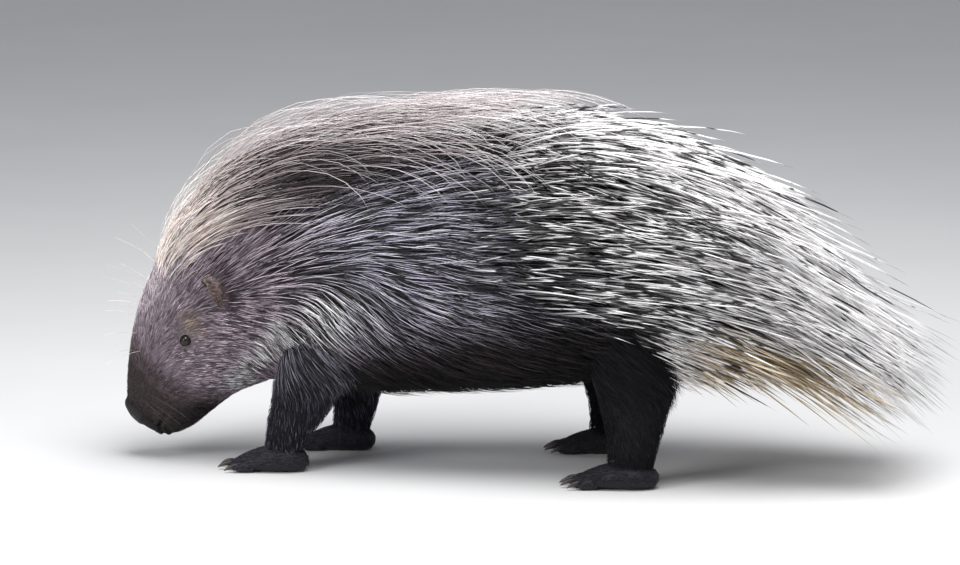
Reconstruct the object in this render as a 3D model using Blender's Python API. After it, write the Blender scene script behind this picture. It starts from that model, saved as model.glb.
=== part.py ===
"""A crested porcupine, life size, walking with its head low. Metres, +Z up, head towards -X.

The body is one swept form, hung between a back line and a belly line and parted into head, neck
and torso. Legs, feet, ears, eyes and tail are forms of their own, cut to meet it face to face.
Locks and quills are placed in loops over the body, bent clear of the nodes that they don't grow
from, and fused to the node that they do.
"""

import math
import random

import bmesh
import bpy
from mathutils import Vector
from mathutils.bvhtree import BVHTree

GAP = 0.0003  # clear space that touching solids keep
SEED = 11
MERGE = 2e-6  # edges shorter than this are closed up
LEFT = -1  # the animal's left side lies towards -Y
RIGHT = 1

# Stations of the body from the lips to the tail root: back x and z, belly x and z, half width,
# and the share of the height that lies above the widest level.
BODY = {
    "lips": (-0.504, 0.073, -0.448, 0.032, 0.025, 0.50),
    "muzzle": (-0.503, 0.107, -0.422, 0.041, 0.036, 0.50),
    "cheek": (-0.497, 0.150, -0.395, 0.063, 0.046, 0.52),
    "eyes": (-0.487, 0.193, -0.371, 0.081, 0.054, 0.52),
    "brow": (-0.470, 0.236, -0.342, 0.094, 0.061, 0.54),
    "ears": (-0.447, 0.278, -0.313, 0.102, 0.067, 0.55),
    "nape": (-0.407, 0.317, -0.288, 0.094, 0.078, 0.56),
    "neck": (-0.342, 0.357, -0.252, 0.086, 0.095, 0.58),
    "shoulder": (-0.256, 0.386, -0.191, 0.0855, 0.111, 0.59),
    "chest": (-0.144, 0.404, -0.119, 0.087, 0.122, 0.59),
    "waist": (-0.046, 0.413, -0.046, 0.0915, 0.130, 0.59),
    "loin": (0.051, 0.414, 0.027, 0.098, 0.134, 0.58),
    "hip": (0.136, 0.388, 0.099, 0.110, 0.128, 0.56),
    "rump": (0.196, 0.340, 0.160, 0.129, 0.108, 0.55),
    "tail_root": (0.230, 0.271, 0.202, 0.167, 0.070, 0.52),
}
MUZZLE_DOME = 0.015  # how far the lips round out beyond their station
RUMP_DOME = 0.020
SECTION_SQUARENESS = 0.90  # below 1 fills out a ring's flanks
SIDES = 24
DOME_STEPS = (0.25, 0.5, 0.7, 0.88)  # rings of a rounded end, as shares of its turn
HEAD_STEP = 0.42  # stations between rings
TRUNK_STEP = 0.6
HEAD_END = 5.8  # stations counted from the lips
NECK_END = 7.2

EYE_STATION, EYE_TURN = 3.5, 84.0
EYE_RADIUS = 0.0055
EYE_DEPTH = 0.0030
LID_RADIUS, LID_THICKNESS = 0.0066, 0.0018
LID_LENGTH = 1.15  # the lids' opening, in heights
LID_SIDES = 12
NOSTRIL_STATION, NOSTRIL_TURN = -0.42, 42.0
NOSTRIL_SIZE = (0.0075, 0.0030, 0.0045)
MOUTH_GROOVE, CLEFT_GROOVE = 0.0014, 0.0011
MOUTH_LINE = ((0.85, 112), (0.4, 116), (0.0, 122), (-0.25, 138), (-0.38, 180))
LIP_CLEFT = ((-0.72, 0), (-0.88, 0), (-0.88, 180), (-0.66, 180), (-0.42, 180))

EAR_STATION, EAR_TURN = 5.05, 74.0
EAR_HEIGHT, EAR_HALF_WIDTH, EAR_THICKNESS = 0.042, 0.016, 0.0026
EAR_ROOT = 0.010  # how far the ear starts inside the head
EAR_CUP, EAR_BEND = 0.009, 0.003

# Legs: centre x, distance from the midline, centre z, half length and half width of each ring.
FRONT_LEFT = (
    (-0.232, 0.056, 0.200, 0.052, 0.036),
    (-0.250, 0.060, 0.160, 0.050, 0.036),
    (-0.266, 0.062, 0.120, 0.044, 0.034),
    (-0.279, 0.061, 0.086, 0.037, 0.030),
    (-0.293, 0.060, 0.055, 0.029, 0.025),
    (-0.300, 0.060, 0.030, 0.024, 0.022),
)
FRONT_RIGHT = (
    (-0.222, 0.060, 0.200, 0.052, 0.036),
    (-0.226, 0.066, 0.160, 0.047, 0.036),
    (-0.230, 0.071, 0.120, 0.040, 0.033),
    (-0.233, 0.074, 0.086, 0.034, 0.029),
    (-0.236, 0.075, 0.055, 0.028, 0.025),
    (-0.240, 0.075, 0.030, 0.024, 0.022),
)
HIND_LEFT = (
    (0.112, 0.066, 0.210, 0.070, 0.044),
    (0.120, 0.076, 0.170, 0.061, 0.042),
    (0.126, 0.086, 0.130, 0.051, 0.038),
    (0.128, 0.093, 0.090, 0.041, 0.034),
    (0.127, 0.097, 0.058, 0.033, 0.029),
    (0.124, 0.099, 0.032, 0.029, 0.026),
)
HIND_RIGHT_SHIFT = -0.044  # the far hind leg is a little ahead of the near one
LEG_SIDES = 14
ANKLE = 0.036  # height at which a foot is parted from its leg

TOE_RADIUS = 0.0078
TOE_LENGTH = 0.030
TOE_SPREAD = 0.80  # share of the foot's half width at which the outer toes lie
TOE_STAGGER = 0.012  # how much shorter the outer toes are
TOE_RINGS = ((0.0, 0.9), (0.75, 1.0), (1.0, 0.6))  # share of the length, share of the radius
CLAW_LENGTH, CLAW_RADIUS, CLAW_RISE = 0.017, 0.0036, 0.002
CLAW_NARROWNESS = 0.8
CLAW_RINGS = ((-0.4, 1.0), (0.45, 0.85))
FRONT_FOOT = {"length": 0.086, "half_width": 0.024, "toes": 4, "heel": 0.022}
HIND_FOOT = {"length": 0.094, "half_width": 0.026, "toes": 5, "heel": 0.026}
# The palm from heel to toes: share of the foot's length, centre z, half height, share of width.
PALM = (
    (-0.04, 0.010, 0.010, 0.55),
    (0.08, 0.013, 0.015, 0.85),
    (0.24, 0.016, 0.019, 1.0),
    (0.55, 0.013, 0.015, 1.05),
    (0.76, 0.010, 0.011, 1.0),
    (0.87, 0.008, 0.008, 0.8),
)

# The tail: back x and z, belly x and z, half width, widest level.
TAIL = (
    (0.222, 0.238, 0.196, 0.180, 0.036, 0.5),
    (0.252, 0.222, 0.230, 0.164, 0.034, 0.5),
    (0.278, 0.202, 0.260, 0.154, 0.028, 0.5),
    (0.300, 0.182, 0.288, 0.148, 0.020, 0.5),
)
TAIL_DOME = 0.012

ROOT_DEPTH = 0.009  # how far a lock or quill is sunk into the body
SPARE = 0.0006  # clear space round a lock or quill where it passes another node
TRIES = 9
LIFT_STEP = 4.0  # degrees by which a quill is raised when it would touch
RISE_STEP = 0.004  # and the height by which a lock is
TAPER = (0.8, 1.0, 0.95, 0.85, 0.6)  # width of a lock or quill at each of its rings

# Locks lie over the body. stations and turns bound the roots; spacing is between roots; slant is
# degrees below the line of the body, at the top and at the bottom of the turns; heights are those
# above the body at even shares of the length, from root to tip; close is the share of them that
# is left at the bottom of the turns.
LOCKS = {
    "crest_head": {
        "node": "head", "stations": (4.55, 5.5), "turns": (0, 50), "spacing": 0.024,
        "length": (0.180, 0.250), "width": 0.014, "thickness": 0.0036, "slant": (4, 16),
        "heights": (None, 0.013, 0.024, 0.031, 0.026), "close": 0.7,
    },
    "crest_neck": {
        "node": "neck", "stations": (6.0, 6.95), "turns": (0, 66), "spacing": 0.026,
        "length": (0.190, 0.280), "width": 0.015, "thickness": 0.0036, "slant": (2, 20),
        "heights": (None, 0.017, 0.028, 0.034, 0.034, 0.024), "close": 0.6,
    },
    "crest_shoulder": {
        "node": "torso", "stations": (7.45, 8.9), "turns": (0, 52), "spacing": 0.036,
        "length": (0.210, 0.280), "width": 0.016, "thickness": 0.0036, "slant": (2, 18),
        "heights": (None, 0.020, 0.034, 0.041, 0.042, 0.032), "close": 0.6,
    },
    "collar": {
        "node": "neck", "stations": (5.98, 6.95), "turns": (76, 160), "spacing": 0.029,
        "length": (0.070, 0.095), "width": 0.019, "thickness": 0.0040, "slant": (16, 2),
        "heights": (None, 0.009, 0.008), "close": 1.0, "tries": 3,
    },
    "mantle": {
        "node": "torso", "stations": (7.45, 9.8), "turns": (62, 152), "spacing": 0.0405,
        "length": (0.095, 0.130), "width": 0.022, "thickness": 0.0045, "slant": (22, 8),
        "heights": (None, 0.010, 0.010), "close": 1.0, "tries": 3,
    },
    "belly": {
        "node": "torso", "stations": (10.0, 13.1), "turns": (122, 172), "spacing": 0.042,
        "length": (0.070, 0.090), "width": 0.022, "thickness": 0.0045, "slant": (22, 6),
        "heights": (None, 0.008, 0.008), "close": 1.0, "tries": 2,
    },
}
# Quills run nearly straight. length runs from the front stations to the rear ones, splay is
# degrees out from the midline, lift is the least angle to the body.
QUILLS = {
    "back": {
        "node": "torso", "stations": (9.3, 13.9), "turns": (0, 116), "spacing": 0.0358,
        "length": (0.185, 0.285), "low_length": 0.62, "radius": 0.0030,
        "splay": 6, "lift": (8, 3), "droop": 0.016,
    },
    "haunch": {
        "node": "torso", "stations": (12.4, 13.9), "turns": (122, 165), "spacing": 0.030,
        "length": (0.130, 0.190), "low_length": 0.8, "radius": 0.0028,
        "splay": 6, "lift": (7, 5), "droop": 0.010,
    },
    "rump": {
        "node": "torso", "stations": (14.12, 14.75), "turns": (0, 165), "spacing": 0.033,
        "length": (0.275, 0.235), "low_length": 0.80, "radius": 0.0030,
        "splay": 5, "lift": (10, 10), "droop": 0.018,
    },
    "tail": {
        "node": "tail", "stations": (1.0, 3.4), "turns": (0, 180), "spacing": 0.028,
        "length": (0.110, 0.120), "low_length": 0.8, "radius": 0.0026,
        "splay": 4, "lift": (12, 12), "droop": 0.004,
    },
}
# Degrees that quills point down, by station, on the back line and on the flanks.
QUILL_SLOPES = (
    (9.3, -21, 6),
    (10.2, -13, 9),
    (11.0, 4, 13),
    (12.0, 15, 19),
    (13.0, 16, 22),
    (14.0, 13, 22),
    (15.0, 17, 22),
)
TAIL_SLOPE = 24

COLOURS = {
    "fur": ((0.115, 0.098, 0.094, 1.0), 0.75),
    "dark_fur": ((0.018, 0.016, 0.019, 1.0), 0.70),
    "bristles": ((0.155, 0.135, 0.130, 1.0), 0.60),
    "quills": ((0.46, 0.44, 0.42, 1.0), 0.40),
    "ear": ((0.090, 0.070, 0.060, 1.0), 0.75),
    "eye": ((0.010, 0.008, 0.008, 1.0), 0.08),
}


def clear_scene():
    for obj in list(bpy.data.objects):
        bpy.data.objects.remove(obj)


def material(name):
    colour, roughness = COLOURS[name]
    made = bpy.data.materials.get(name) or bpy.data.materials.new(name)
    made.use_nodes = True
    shader = made.node_tree.nodes["Principled BSDF"]
    shader.inputs["Base Color"].default_value = colour
    shader.inputs["Roughness"].default_value = roughness
    shader.inputs["Metallic"].default_value = 0.0
    return made


def add_object(name, bm, finish=None):
    """A mesh object from bm, with its faces pointing out."""
    bmesh.ops.recalc_face_normals(bm, faces=bm.faces)
    mesh = bpy.data.meshes.new(name)
    bm.to_mesh(mesh)
    bm.free()
    obj = bpy.data.objects.new(name, mesh)
    bpy.context.scene.collection.objects.link(obj)
    if finish:
        mesh.materials.append(material(finish))
        mesh.shade_smooth()
    return obj


def through(rows, u):
    """The row at u, counted in rows, on a smooth curve through all of them."""
    last = len(rows) - 1
    i = max(0, min(last - 1, int(math.floor(u))))
    t = u - i
    before, here = rows[max(0, i - 1)], rows[i]
    after, beyond = rows[i + 1], rows[min(last, i + 2)]
    values = []
    for a, b, c, d in zip(before, here, after, beyond):
        start, end = (c - a) / 2, (d - b) / 2
        rise = b * (2 * t**3 - 3 * t**2 + 1) + c * (3 * t**2 - 2 * t**3)
        values.append(rise + start * (t**3 - 2 * t**2 + t) + end * (t**3 - t**2))
    return values


class Form:
    """A closed skin swept through stations, each a ring hung between a back and a belly point.

    u counts stations from the front. Below 0 and past the last it runs over a rounded end, by at
    most one. A turn is in degrees from the back line, positive round the animal's left side.
    """

    def __init__(self, rows, front_dome=0.0, rear_dome=0.0):
        self.rows = list(rows)
        self.last = len(self.rows) - 1
        self.front_dome = front_dome
        self.rear_dome = rear_dome

    def point(self, u, turn):
        inside = max(0.0, min(float(self.last), u))
        back_x, back_z, belly_x, belly_z, half_width, widest = through(self.rows, inside)
        back = Vector((back_x, 0.0, back_z))
        down = Vector((belly_x, 0.0, belly_z)) - back
        centre = back + down * widest
        over = u - inside
        shrink = math.cos(min(1.0, abs(over)) * math.pi / 2)
        outward = Vector((-down.z, 0.0, down.x)).normalized()
        dome = self.rear_dome if over > 0 else -self.front_dome
        centre += outward * dome * math.sin(min(1.0, abs(over)) * math.pi / 2)
        angle = math.radians(turn)
        up = math.cos(angle)
        reach = widest if up > 0 else 1 - widest
        side = math.copysign(abs(math.sin(angle)) ** SECTION_SQUARENESS, math.sin(angle))
        offset = -down * (up * reach) + Vector((0.0, LEFT * side * half_width, 0.0))
        return centre + offset * shrink

    def frame(self, u, turn):
        """The point, the outward normal, and the moves per station and, downwards, per degree."""
        here = self.point(u, turn)
        along = (self.point(u + 0.02, turn) - self.point(u - 0.02, turn)) / 0.04
        way = 1 if turn >= 0 else -1
        down = (self.point(u, turn + way) - self.point(u, turn - way)) / 2
        outward = down.cross(along) * way
        return here, outward.normalized(), along, down

    def ring(self, u, sides, shift=0.0):
        """A ring of points at u, moved by shift along the body."""
        row = through(self.rows, max(0.0, min(float(self.last), u)))
        push = Vector((row[1] - row[3], 0.0, row[2] - row[0])).normalized() * shift
        return [self.point(u, 360 * k / sides) + push for k in range(sides)]


def ring_loop(bm, points):
    made = bmesh.ops.create_circle(bm, cap_ends=False, segments=len(points), radius=1.0)["verts"]
    for vertex, place in zip(made, points):
        vertex.co = place
    return made


def loop_edges(loop):
    members = set(loop)
    return [e for v in loop for e in v.link_edges if e.other_vert(v) in members]


def sweep(bm, rings, front_pole=None, rear_pole=None):
    """Bridges the rings in order, and closes each end flat, or at a pole where one is given."""
    loops = [ring_loop(bm, points) for points in rings]
    for near, far in zip(loops, loops[1:]):
        edges = list(dict.fromkeys(loop_edges(near) + loop_edges(far)))
        bmesh.ops.bridge_loops(bm, edges=edges)
    for loop, pole in ((loops[0], front_pole), (loops[-1], rear_pole)):
        face = bm.faces.new(loop)
        if pole is not None:
            centre = bmesh.ops.poke(bm, faces=[face])["verts"][0]
            centre.co = pole
    return loops


def oval(centre, across, up, sides):
    """A ring of points round centre, with half its width across and half its height up."""
    turns = [2 * math.pi * s / sides for s in range(sides)]
    return [centre + across * math.cos(a) + up * math.sin(a) for a in turns]


def swept(name, rings, rear_pole=None, finish=None):
    bm = bmesh.new()
    sweep(bm, rings, None, rear_pole)
    return add_object(name, bm, finish)


def steps(start, end, step):
    count = max(1, round((end - start) / step))
    return [start + (end - start) * k / count for k in range(count + 1)]


def body_piece(name, form, start, end, step, finish):
    """The body from one station to another. An end inside the body is flat and GAP short."""
    bm = bmesh.new()
    stations = steps(max(0.0, start), min(float(form.last), end), step)
    rings = [form.ring(u, SIDES) for u in stations]
    front_pole = rear_pole = None
    if start < 0:
        rings = [form.ring(-over, SIDES) for over in reversed(DOME_STEPS)] + rings
        front_pole = form.point(-1.0, 0)
    else:
        rings[0] = form.ring(start, SIDES, GAP / 2)
    if end > form.last:
        rings += [form.ring(form.last + over, SIDES) for over in DOME_STEPS]
        rear_pole = form.point(form.last + 1.0, 0)
    else:
        rings[-1] = form.ring(end, SIDES, -GAP / 2)
    sweep(bm, rings, front_pole, rear_pole)
    return add_object(name, bm, finish)


def apply_modifiers(obj):
    graph = bpy.context.evaluated_depsgraph_get()
    graph.update()
    mesh = bpy.data.meshes.new_from_object(obj.evaluated_get(graph))
    obj.modifiers.clear()
    old = obj.data
    obj.data = mesh
    mesh.name = old.name
    bpy.data.meshes.remove(old)


def largest_surface(obj):
    """Keeps only the closed surface that holds the most."""
    bm = bmesh.new()
    bm.from_mesh(obj.data)
    unseen, groups = set(bm.faces), []
    while unseen:
        group, waiting = set(), [unseen.pop()]
        while waiting:
            face = waiting.pop()
            group.add(face)
            for edge in face.edges:
                pair = edge.link_faces
                if len(pair) != 2:
                    continue
                other = pair[1] if pair[0] is face else pair[0]
                if other in unseen:
                    unseen.discard(other)
                    waiting.append(other)
        groups.append(group)
    if len(groups) > 1:
        groups.sort(key=lambda g: sum(f.calc_area() for f in g))
        loose = [f for group in groups[:-1] for f in group]
        bmesh.ops.delete(bm, geom=loose, context="FACES")
    bmesh.ops.dissolve_degenerate(bm, dist=MERGE, edges=bm.edges)
    bm.to_mesh(obj.data)
    bm.free()


def combine(obj, pieces, operation):
    """One Boolean of obj with the objects in pieces, applied; the pieces are then removed."""
    group = bpy.data.collections.new(obj.name + "_pieces")
    bpy.context.scene.collection.children.link(group)
    for piece in pieces:
        bpy.context.scene.collection.objects.unlink(piece)
        group.objects.link(piece)
    modifier = obj.modifiers.new(operation.lower(), "BOOLEAN")
    modifier.operation = operation
    modifier.operand_type = "COLLECTION"
    modifier.collection = group
    modifier.solver = "EXACT"
    apply_modifiers(obj)
    for piece in pieces:
        bpy.data.objects.remove(piece)
    bpy.data.collections.remove(group)
    largest_surface(obj)


def grown_copy(obj, by):
    """A copy of obj whose surface stands out by the given distance."""
    copy = obj.copy()
    copy.data = obj.data.copy()
    bpy.context.scene.collection.objects.link(copy)
    for vertex in copy.data.vertices:
        vertex.co += vertex.normal * by
    return copy


def meet(obj, others):
    """Cuts obj back until it stands GAP clear of the others."""
    for other in others:
        combine(obj, [grown_copy(other, GAP * 1.2)], "DIFFERENCE")


def ellipsoid(name, centre, size, turn_to=None, segments=8):
    bm = bmesh.new()
    bmesh.ops.create_uvsphere(bm, u_segments=segments, v_segments=segments // 2 + 1, radius=1.0)
    bmesh.ops.scale(bm, vec=size, verts=bm.verts)
    if turn_to is not None:
        bmesh.ops.rotate(bm, matrix=turn_to, verts=bm.verts)
    bmesh.ops.translate(bm, vec=centre, verts=bm.verts)
    return add_object(name, bm)


def tube(name, points, radius):
    """A closed four-sided tube through the points, thinner at both ends."""
    rings = []
    for k, place in enumerate(points):
        ahead = points[min(k + 1, len(points) - 1)] - points[max(k - 1, 0)]
        turn = ahead.to_track_quat("Z", "Y")
        size = radius * (0.5 if k in (0, len(points) - 1) else 1.0)
        rings.append(oval(place, turn @ Vector((size, 0, 0)), turn @ Vector((0, size, 0)), 4))
    return swept(name, rings)


def surface_line(form, line, mirrored=False):
    """Points on the form along a line of (station, turn), and on to its mirror image."""
    half = [form.point(u, turn) for u, turn in line]
    if not mirrored:
        return half
    other = [form.point(u, -turn) for u, turn in reversed(line[:-1])]
    return half + other


def eye_place(form, side):
    surface, outward, _, _ = form.frame(EYE_STATION, EYE_TURN * -side)
    return surface - outward * EYE_DEPTH, outward


def lid_ring(centre, outward):
    """The lids, as a ring that stands just proud of the fur round the eye."""
    turn = outward.to_track_quat("Z", "X")
    middle = centre + outward * EYE_DEPTH * 0.9
    bm = bmesh.new()
    loops = []
    for out in oval(Vector(), Vector((LID_LENGTH, 0, 0)), Vector((0, 1, 0)), LID_SIDES):
        out = turn @ out
        spine = middle + out * LID_RADIUS
        loops.append(ring_loop(bm, oval(spine, out * LID_THICKNESS, outward * LID_THICKNESS, 5)))
    for near, far in zip(loops, loops[1:] + loops[:1]):
        edges = list(dict.fromkeys(loop_edges(near) + loop_edges(far)))
        bmesh.ops.bridge_loops(bm, edges=edges)
    return add_object("lids", bm)


def build_head(form):
    head = body_piece("head", form, -1.0, HEAD_END, HEAD_STEP, "fur")
    eyes = [eye_place(form, side) for side in (LEFT, RIGHT)]
    combine(head, [lid_ring(*eye) for eye in eyes], "UNION")
    cutters = []
    for centre, _ in eyes:
        size = (EYE_RADIUS + GAP * 1.5,) * 3
        cutters.append(ellipsoid("socket", centre, size, segments=12))
    for turn in (NOSTRIL_TURN, -NOSTRIL_TURN):
        place, outward, _, _ = form.frame(NOSTRIL_STATION, turn)
        lean = outward.to_track_quat("Z", "Y").to_matrix()
        cutters.append(ellipsoid("nostril", place, NOSTRIL_SIZE, lean))
    mouth = surface_line(form, MOUTH_LINE, mirrored=True)
    cutters.append(tube("mouth", mouth, MOUTH_GROOVE))
    cutters.append(tube("cleft", surface_line(form, LIP_CLEFT), CLEFT_GROOVE))
    combine(head, cutters, "DIFFERENCE")
    return head


def build_eyes(form):
    for name, side in (("eye_left", LEFT), ("eye_right", RIGHT)):
        centre, outward = eye_place(form, side)
        turn = outward.to_track_quat("Z", "Y").to_matrix()
        eye = ellipsoid(name, centre, (EYE_RADIUS,) * 3, turn, segments=12)
        eye.data.materials.append(material("eye"))
        eye.data.shade_smooth()


def build_ear(name, form, side, head):
    """A small rounded ear, cupped forwards, that rises from the side of the head."""
    place, outward, along, down = form.frame(EAR_STATION, EAR_TURN * -side)
    rise = (outward * 0.65 - down.normalized() * 0.75 + along.normalized() * 0.15).normalized()
    across = rise.cross(outward).normalized() * -side
    hollow = rise.cross(across).normalized()
    if hollow.dot(along) > 0:
        hollow = -hollow
    bm = bmesh.new()
    bmesh.ops.create_grid(bm, x_segments=5, y_segments=4, size=1.0)
    for vertex in bm.verts:
        wide, high = vertex.co.x, (vertex.co.y + 1) / 2
        spread = EAR_HALF_WIDTH * math.sqrt(max(0.10, 1 - (1.25 * high - 0.45) ** 2))
        cup = EAR_CUP * (1 - wide**2) + EAR_BEND * high**2
        top = EAR_HEIGHT * high * (1 - 0.10 * wide**2) - EAR_ROOT
        vertex.co = place + across * wide * spread + rise * top - hollow * cup
    bmesh.ops.recalc_face_normals(bm, faces=bm.faces)
    bmesh.ops.solidify(bm, geom=bm.faces[:], thickness=EAR_THICKNESS)
    ear = add_object(name, bm, "ear")
    meet(ear, [head])
    return ear


def limb_rings(rows, side, sides=LEG_SIDES):
    rings = []
    for k, (x, out, z, half_length, half_width) in enumerate(rows):
        ahead = Vector(rows[min(k + 1, len(rows) - 1)][:3]) - Vector(rows[max(k - 1, 0)][:3])
        ahead.y *= side
        lengthways = Vector((-ahead.z, 0.0, ahead.x)).normalized()
        crossways = ahead.cross(lengthways).normalized()
        centre = Vector((x, side * out, z))
        rings.append(oval(centre, lengthways * half_length, crossways * half_width, sides))
    return rings


def trim(obj, level, way):
    """Cuts obj off flat at a level: above it where way is 1, below it where way is -1."""
    bm = bmesh.new()
    bm.from_mesh(obj.data)
    bmesh.ops.bisect_plane(
        bm,
        geom=bm.verts[:] + bm.edges[:] + bm.faces[:],
        plane_co=(0, 0, level),
        plane_no=(0, 0, way),
        clear_outer=True,
    )
    bmesh.ops.holes_fill(bm, edges=[e for e in bm.edges if e.is_boundary])
    bmesh.ops.recalc_face_normals(bm, faces=bm.faces)
    bm.to_mesh(obj.data)
    bm.free()


def build_leg(name, rows, side, body):
    """A leg down to the ankle, where it is flat. Its top meets the body."""
    fine = [through(rows, u) for u in steps(0.0, len(rows) - 1.0, 1 / 2)]
    leg = swept(name, limb_rings(fine, side), finish="dark_fur")
    trim(leg, ANKLE + GAP / 2, -1)
    meet(leg, body)
    return leg


def toe(start, end):
    """One toe and its claw, lying forwards along the floor."""
    ahead = (end - start).normalized()
    side = Vector((-ahead.y, ahead.x, 0.0))
    up = Vector((0.0, 0.0, 1.0))
    rings = []
    for share, size in TOE_RINGS:
        radius = TOE_RADIUS * size
        rings.append(oval(start.lerp(end, share), side * radius, up * radius, 6))
    claw_rings = []
    for share, size in CLAW_RINGS:
        centre = end + ahead * CLAW_LENGTH * share + up * CLAW_RISE
        radius = CLAW_RADIUS * size
        claw_rings.append(oval(centre, side * radius * CLAW_NARROWNESS, up * radius, 4))
    claw_tip = end + ahead * CLAW_LENGTH - up * CLAW_RISE
    return [swept("toe", rings), swept("claw", claw_rings, claw_tip)]


def build_foot(name, leg_rows, side, plan):
    """A broad foot, flat underneath, with its toes and claws. It is parted from the leg above."""
    x, out, _, half_length, half_width = leg_rows[-1]
    middle_y = side * out
    heel = x + plan["heel"]
    front = heel - plan["length"]
    rings = []
    for share, centre_z, half_height, wide in PALM:
        centre = Vector((heel + (front - heel) * share, middle_y, centre_z))
        across = Vector((0.0, plan["half_width"] * wide, 0.0))
        rings.append(oval(centre, across, Vector((0.0, 0.0, half_height)), 10))
    foot = swept(name, rings, finish="dark_fur")
    pieces = []
    for k in range(plan["toes"]):
        share = 2 * k / (plan["toes"] - 1) - 1
        y = side * share * plan["half_width"] * TOE_SPREAD
        reach = front + TOE_STAGGER * share**2
        start = Vector((front + TOE_LENGTH, middle_y + y * 0.9, TOE_RADIUS * 0.85))
        end = Vector((reach, middle_y + y * 1.15, TOE_RADIUS * 0.8))
        pieces += toe(start, end)
    sole_row = (x, out, leg_rows[-1][2] * 0.4, half_length * 0.9, half_width * 0.9)
    shank = limb_rings((leg_rows[-2], leg_rows[-1], sole_row), side, sides=10)
    pieces.append(swept("shank", shank))
    combine(foot, pieces, "UNION")
    trim(foot, 0.0, -1)
    trim(foot, ANKLE - GAP / 2, 1)


def strand(path, ups, width, thickness):
    """A tapered lock or spine along a path, with a ridge along its outer side."""
    rings = []
    for k, place in enumerate(path[:-1]):
        ahead = path[k + 1] - path[max(0, k - 1)]
        across = ahead.cross(ups[k]).normalized()
        up = across.cross(ahead).normalized()
        size = TAPER[k]
        half = across * width / 2 * size
        low = up * thickness * -0.35
        rings.append([place - half + low, place + half + low, place + up * thickness * 0.65])
    bm = bmesh.new()
    sweep(bm, rings, None, path[-1])
    bmesh.ops.recalc_face_normals(bm, faces=bm.faces)
    bm.normal_update()
    return bm


def swollen_tree(bm):
    """A search tree of bm's faces, swollen by SPARE."""
    grown = bm.copy()
    for vertex in grown.verts:
        vertex.co += vertex.normal * SPARE
    tree = BVHTree.FromBMesh(grown)
    grown.free()
    return tree


def object_tree(obj):
    bm = bmesh.new()
    bm.from_mesh(obj.data)
    tree = BVHTree.FromBMesh(bm)
    bm.free()
    return tree


def roots(form, plan, rng):
    """Places spread evenly over a band of the body, on both sides, each a little off its row."""
    first, last = plan["stations"]
    low, high = plan["turns"]
    spacing = plan["spacing"]
    u, row = first, 0
    while u <= last:
        _, _, along, _ = form.frame(u, (low + high) / 2)
        for side in (1, -1):
            turn = low + (0.5 if row % 2 else 0.0) * spacing / form.frame(u, low + 1)[3].length
            if low == 0 and side == -1:
                turn += spacing / form.frame(u, 1)[3].length
            while turn <= high:
                _, _, _, down = form.frame(u, side * max(turn, 1.0))
                off = rng.uniform(-0.25, 0.25) * spacing
                away = rng.uniform(-0.25, 0.25) * spacing
                place_u = max(first, min(last, u + off / along.length))
                yield place_u, side * turn + away / down.length
                turn += spacing / down.length
        u += spacing / along.length
        row += 1


def share_of(value, bounds):
    low, high = bounds
    return max(0.0, min(1.0, (value - low) / (high - low)))


def between(pair, share):
    return pair[0] + (pair[1] - pair[0]) * share


def lock_path(form, u, turn, plan, length, rise):
    """Points along a lock that follows the body tailwards, and the outward ways there."""
    heights = plan["heights"]
    fine = 4
    share = share_of(abs(turn), plan["turns"])
    slant = math.radians(between(plan["slant"], share))
    side = 1 if turn >= 0 else -1
    close = between((1.0, plan["close"]), share)
    step = length / (len(heights) - 1) / fine
    points, ups = [], []
    for k in range((len(heights) - 1) * fine + 1):
        here, outward, along, down = form.frame(u, turn)
        if k % fine == 0:
            height = heights[k // fine]
            height = -ROOT_DEPTH if height is None else height * close + rise
            points.append(here + outward * height)
            ups.append(outward)
        u = min(form.last + 0.8, u + step * math.cos(slant) / along.length)
        turn += side * step * math.sin(slant) / down.length
    return points, ups


def quill_path(form, u, turn, plan, length, lift):
    """Points along a quill that trails backwards and droops a little, and the ways up there."""
    here, outward, _, _ = form.frame(u, turn)
    share = share_of(abs(turn), (0, 110))
    if plan["node"] == "tail":
        slope = math.radians(TAIL_SLOPE)
    else:
        before = max(row for row in QUILL_SLOPES if row[0] <= u)
        after = min((row for row in QUILL_SLOPES if row[0] > u), default=before)
        reach = share_of(u, (before[0], after[0])) if after is not before else 0.0
        top = between((before[1], after[1]), reach)
        flank = between((before[2], after[2]), reach)
        slope = math.radians(between((top, flank), share))
    splay = math.radians(plan["splay"]) * math.sin(math.radians(turn)) * LEFT
    way = Vector((math.cos(slope) * math.cos(splay), math.sin(splay), -math.sin(slope)))
    least = math.sin(math.radians(lift))
    if way.dot(outward) < least:
        flat = (way - outward * way.dot(outward)).normalized()
        way = flat * math.sqrt(1 - least**2) + outward * least
    points, ups = [here - outward * ROOT_DEPTH], [outward]
    for reach in (0.55, 1.0):
        fall = Vector((0.0, 0.0, -plan["droop"] * reach**2))
        points.append(here + way * length * reach + fall)
        ups.append(outward)
    return points, ups


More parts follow.
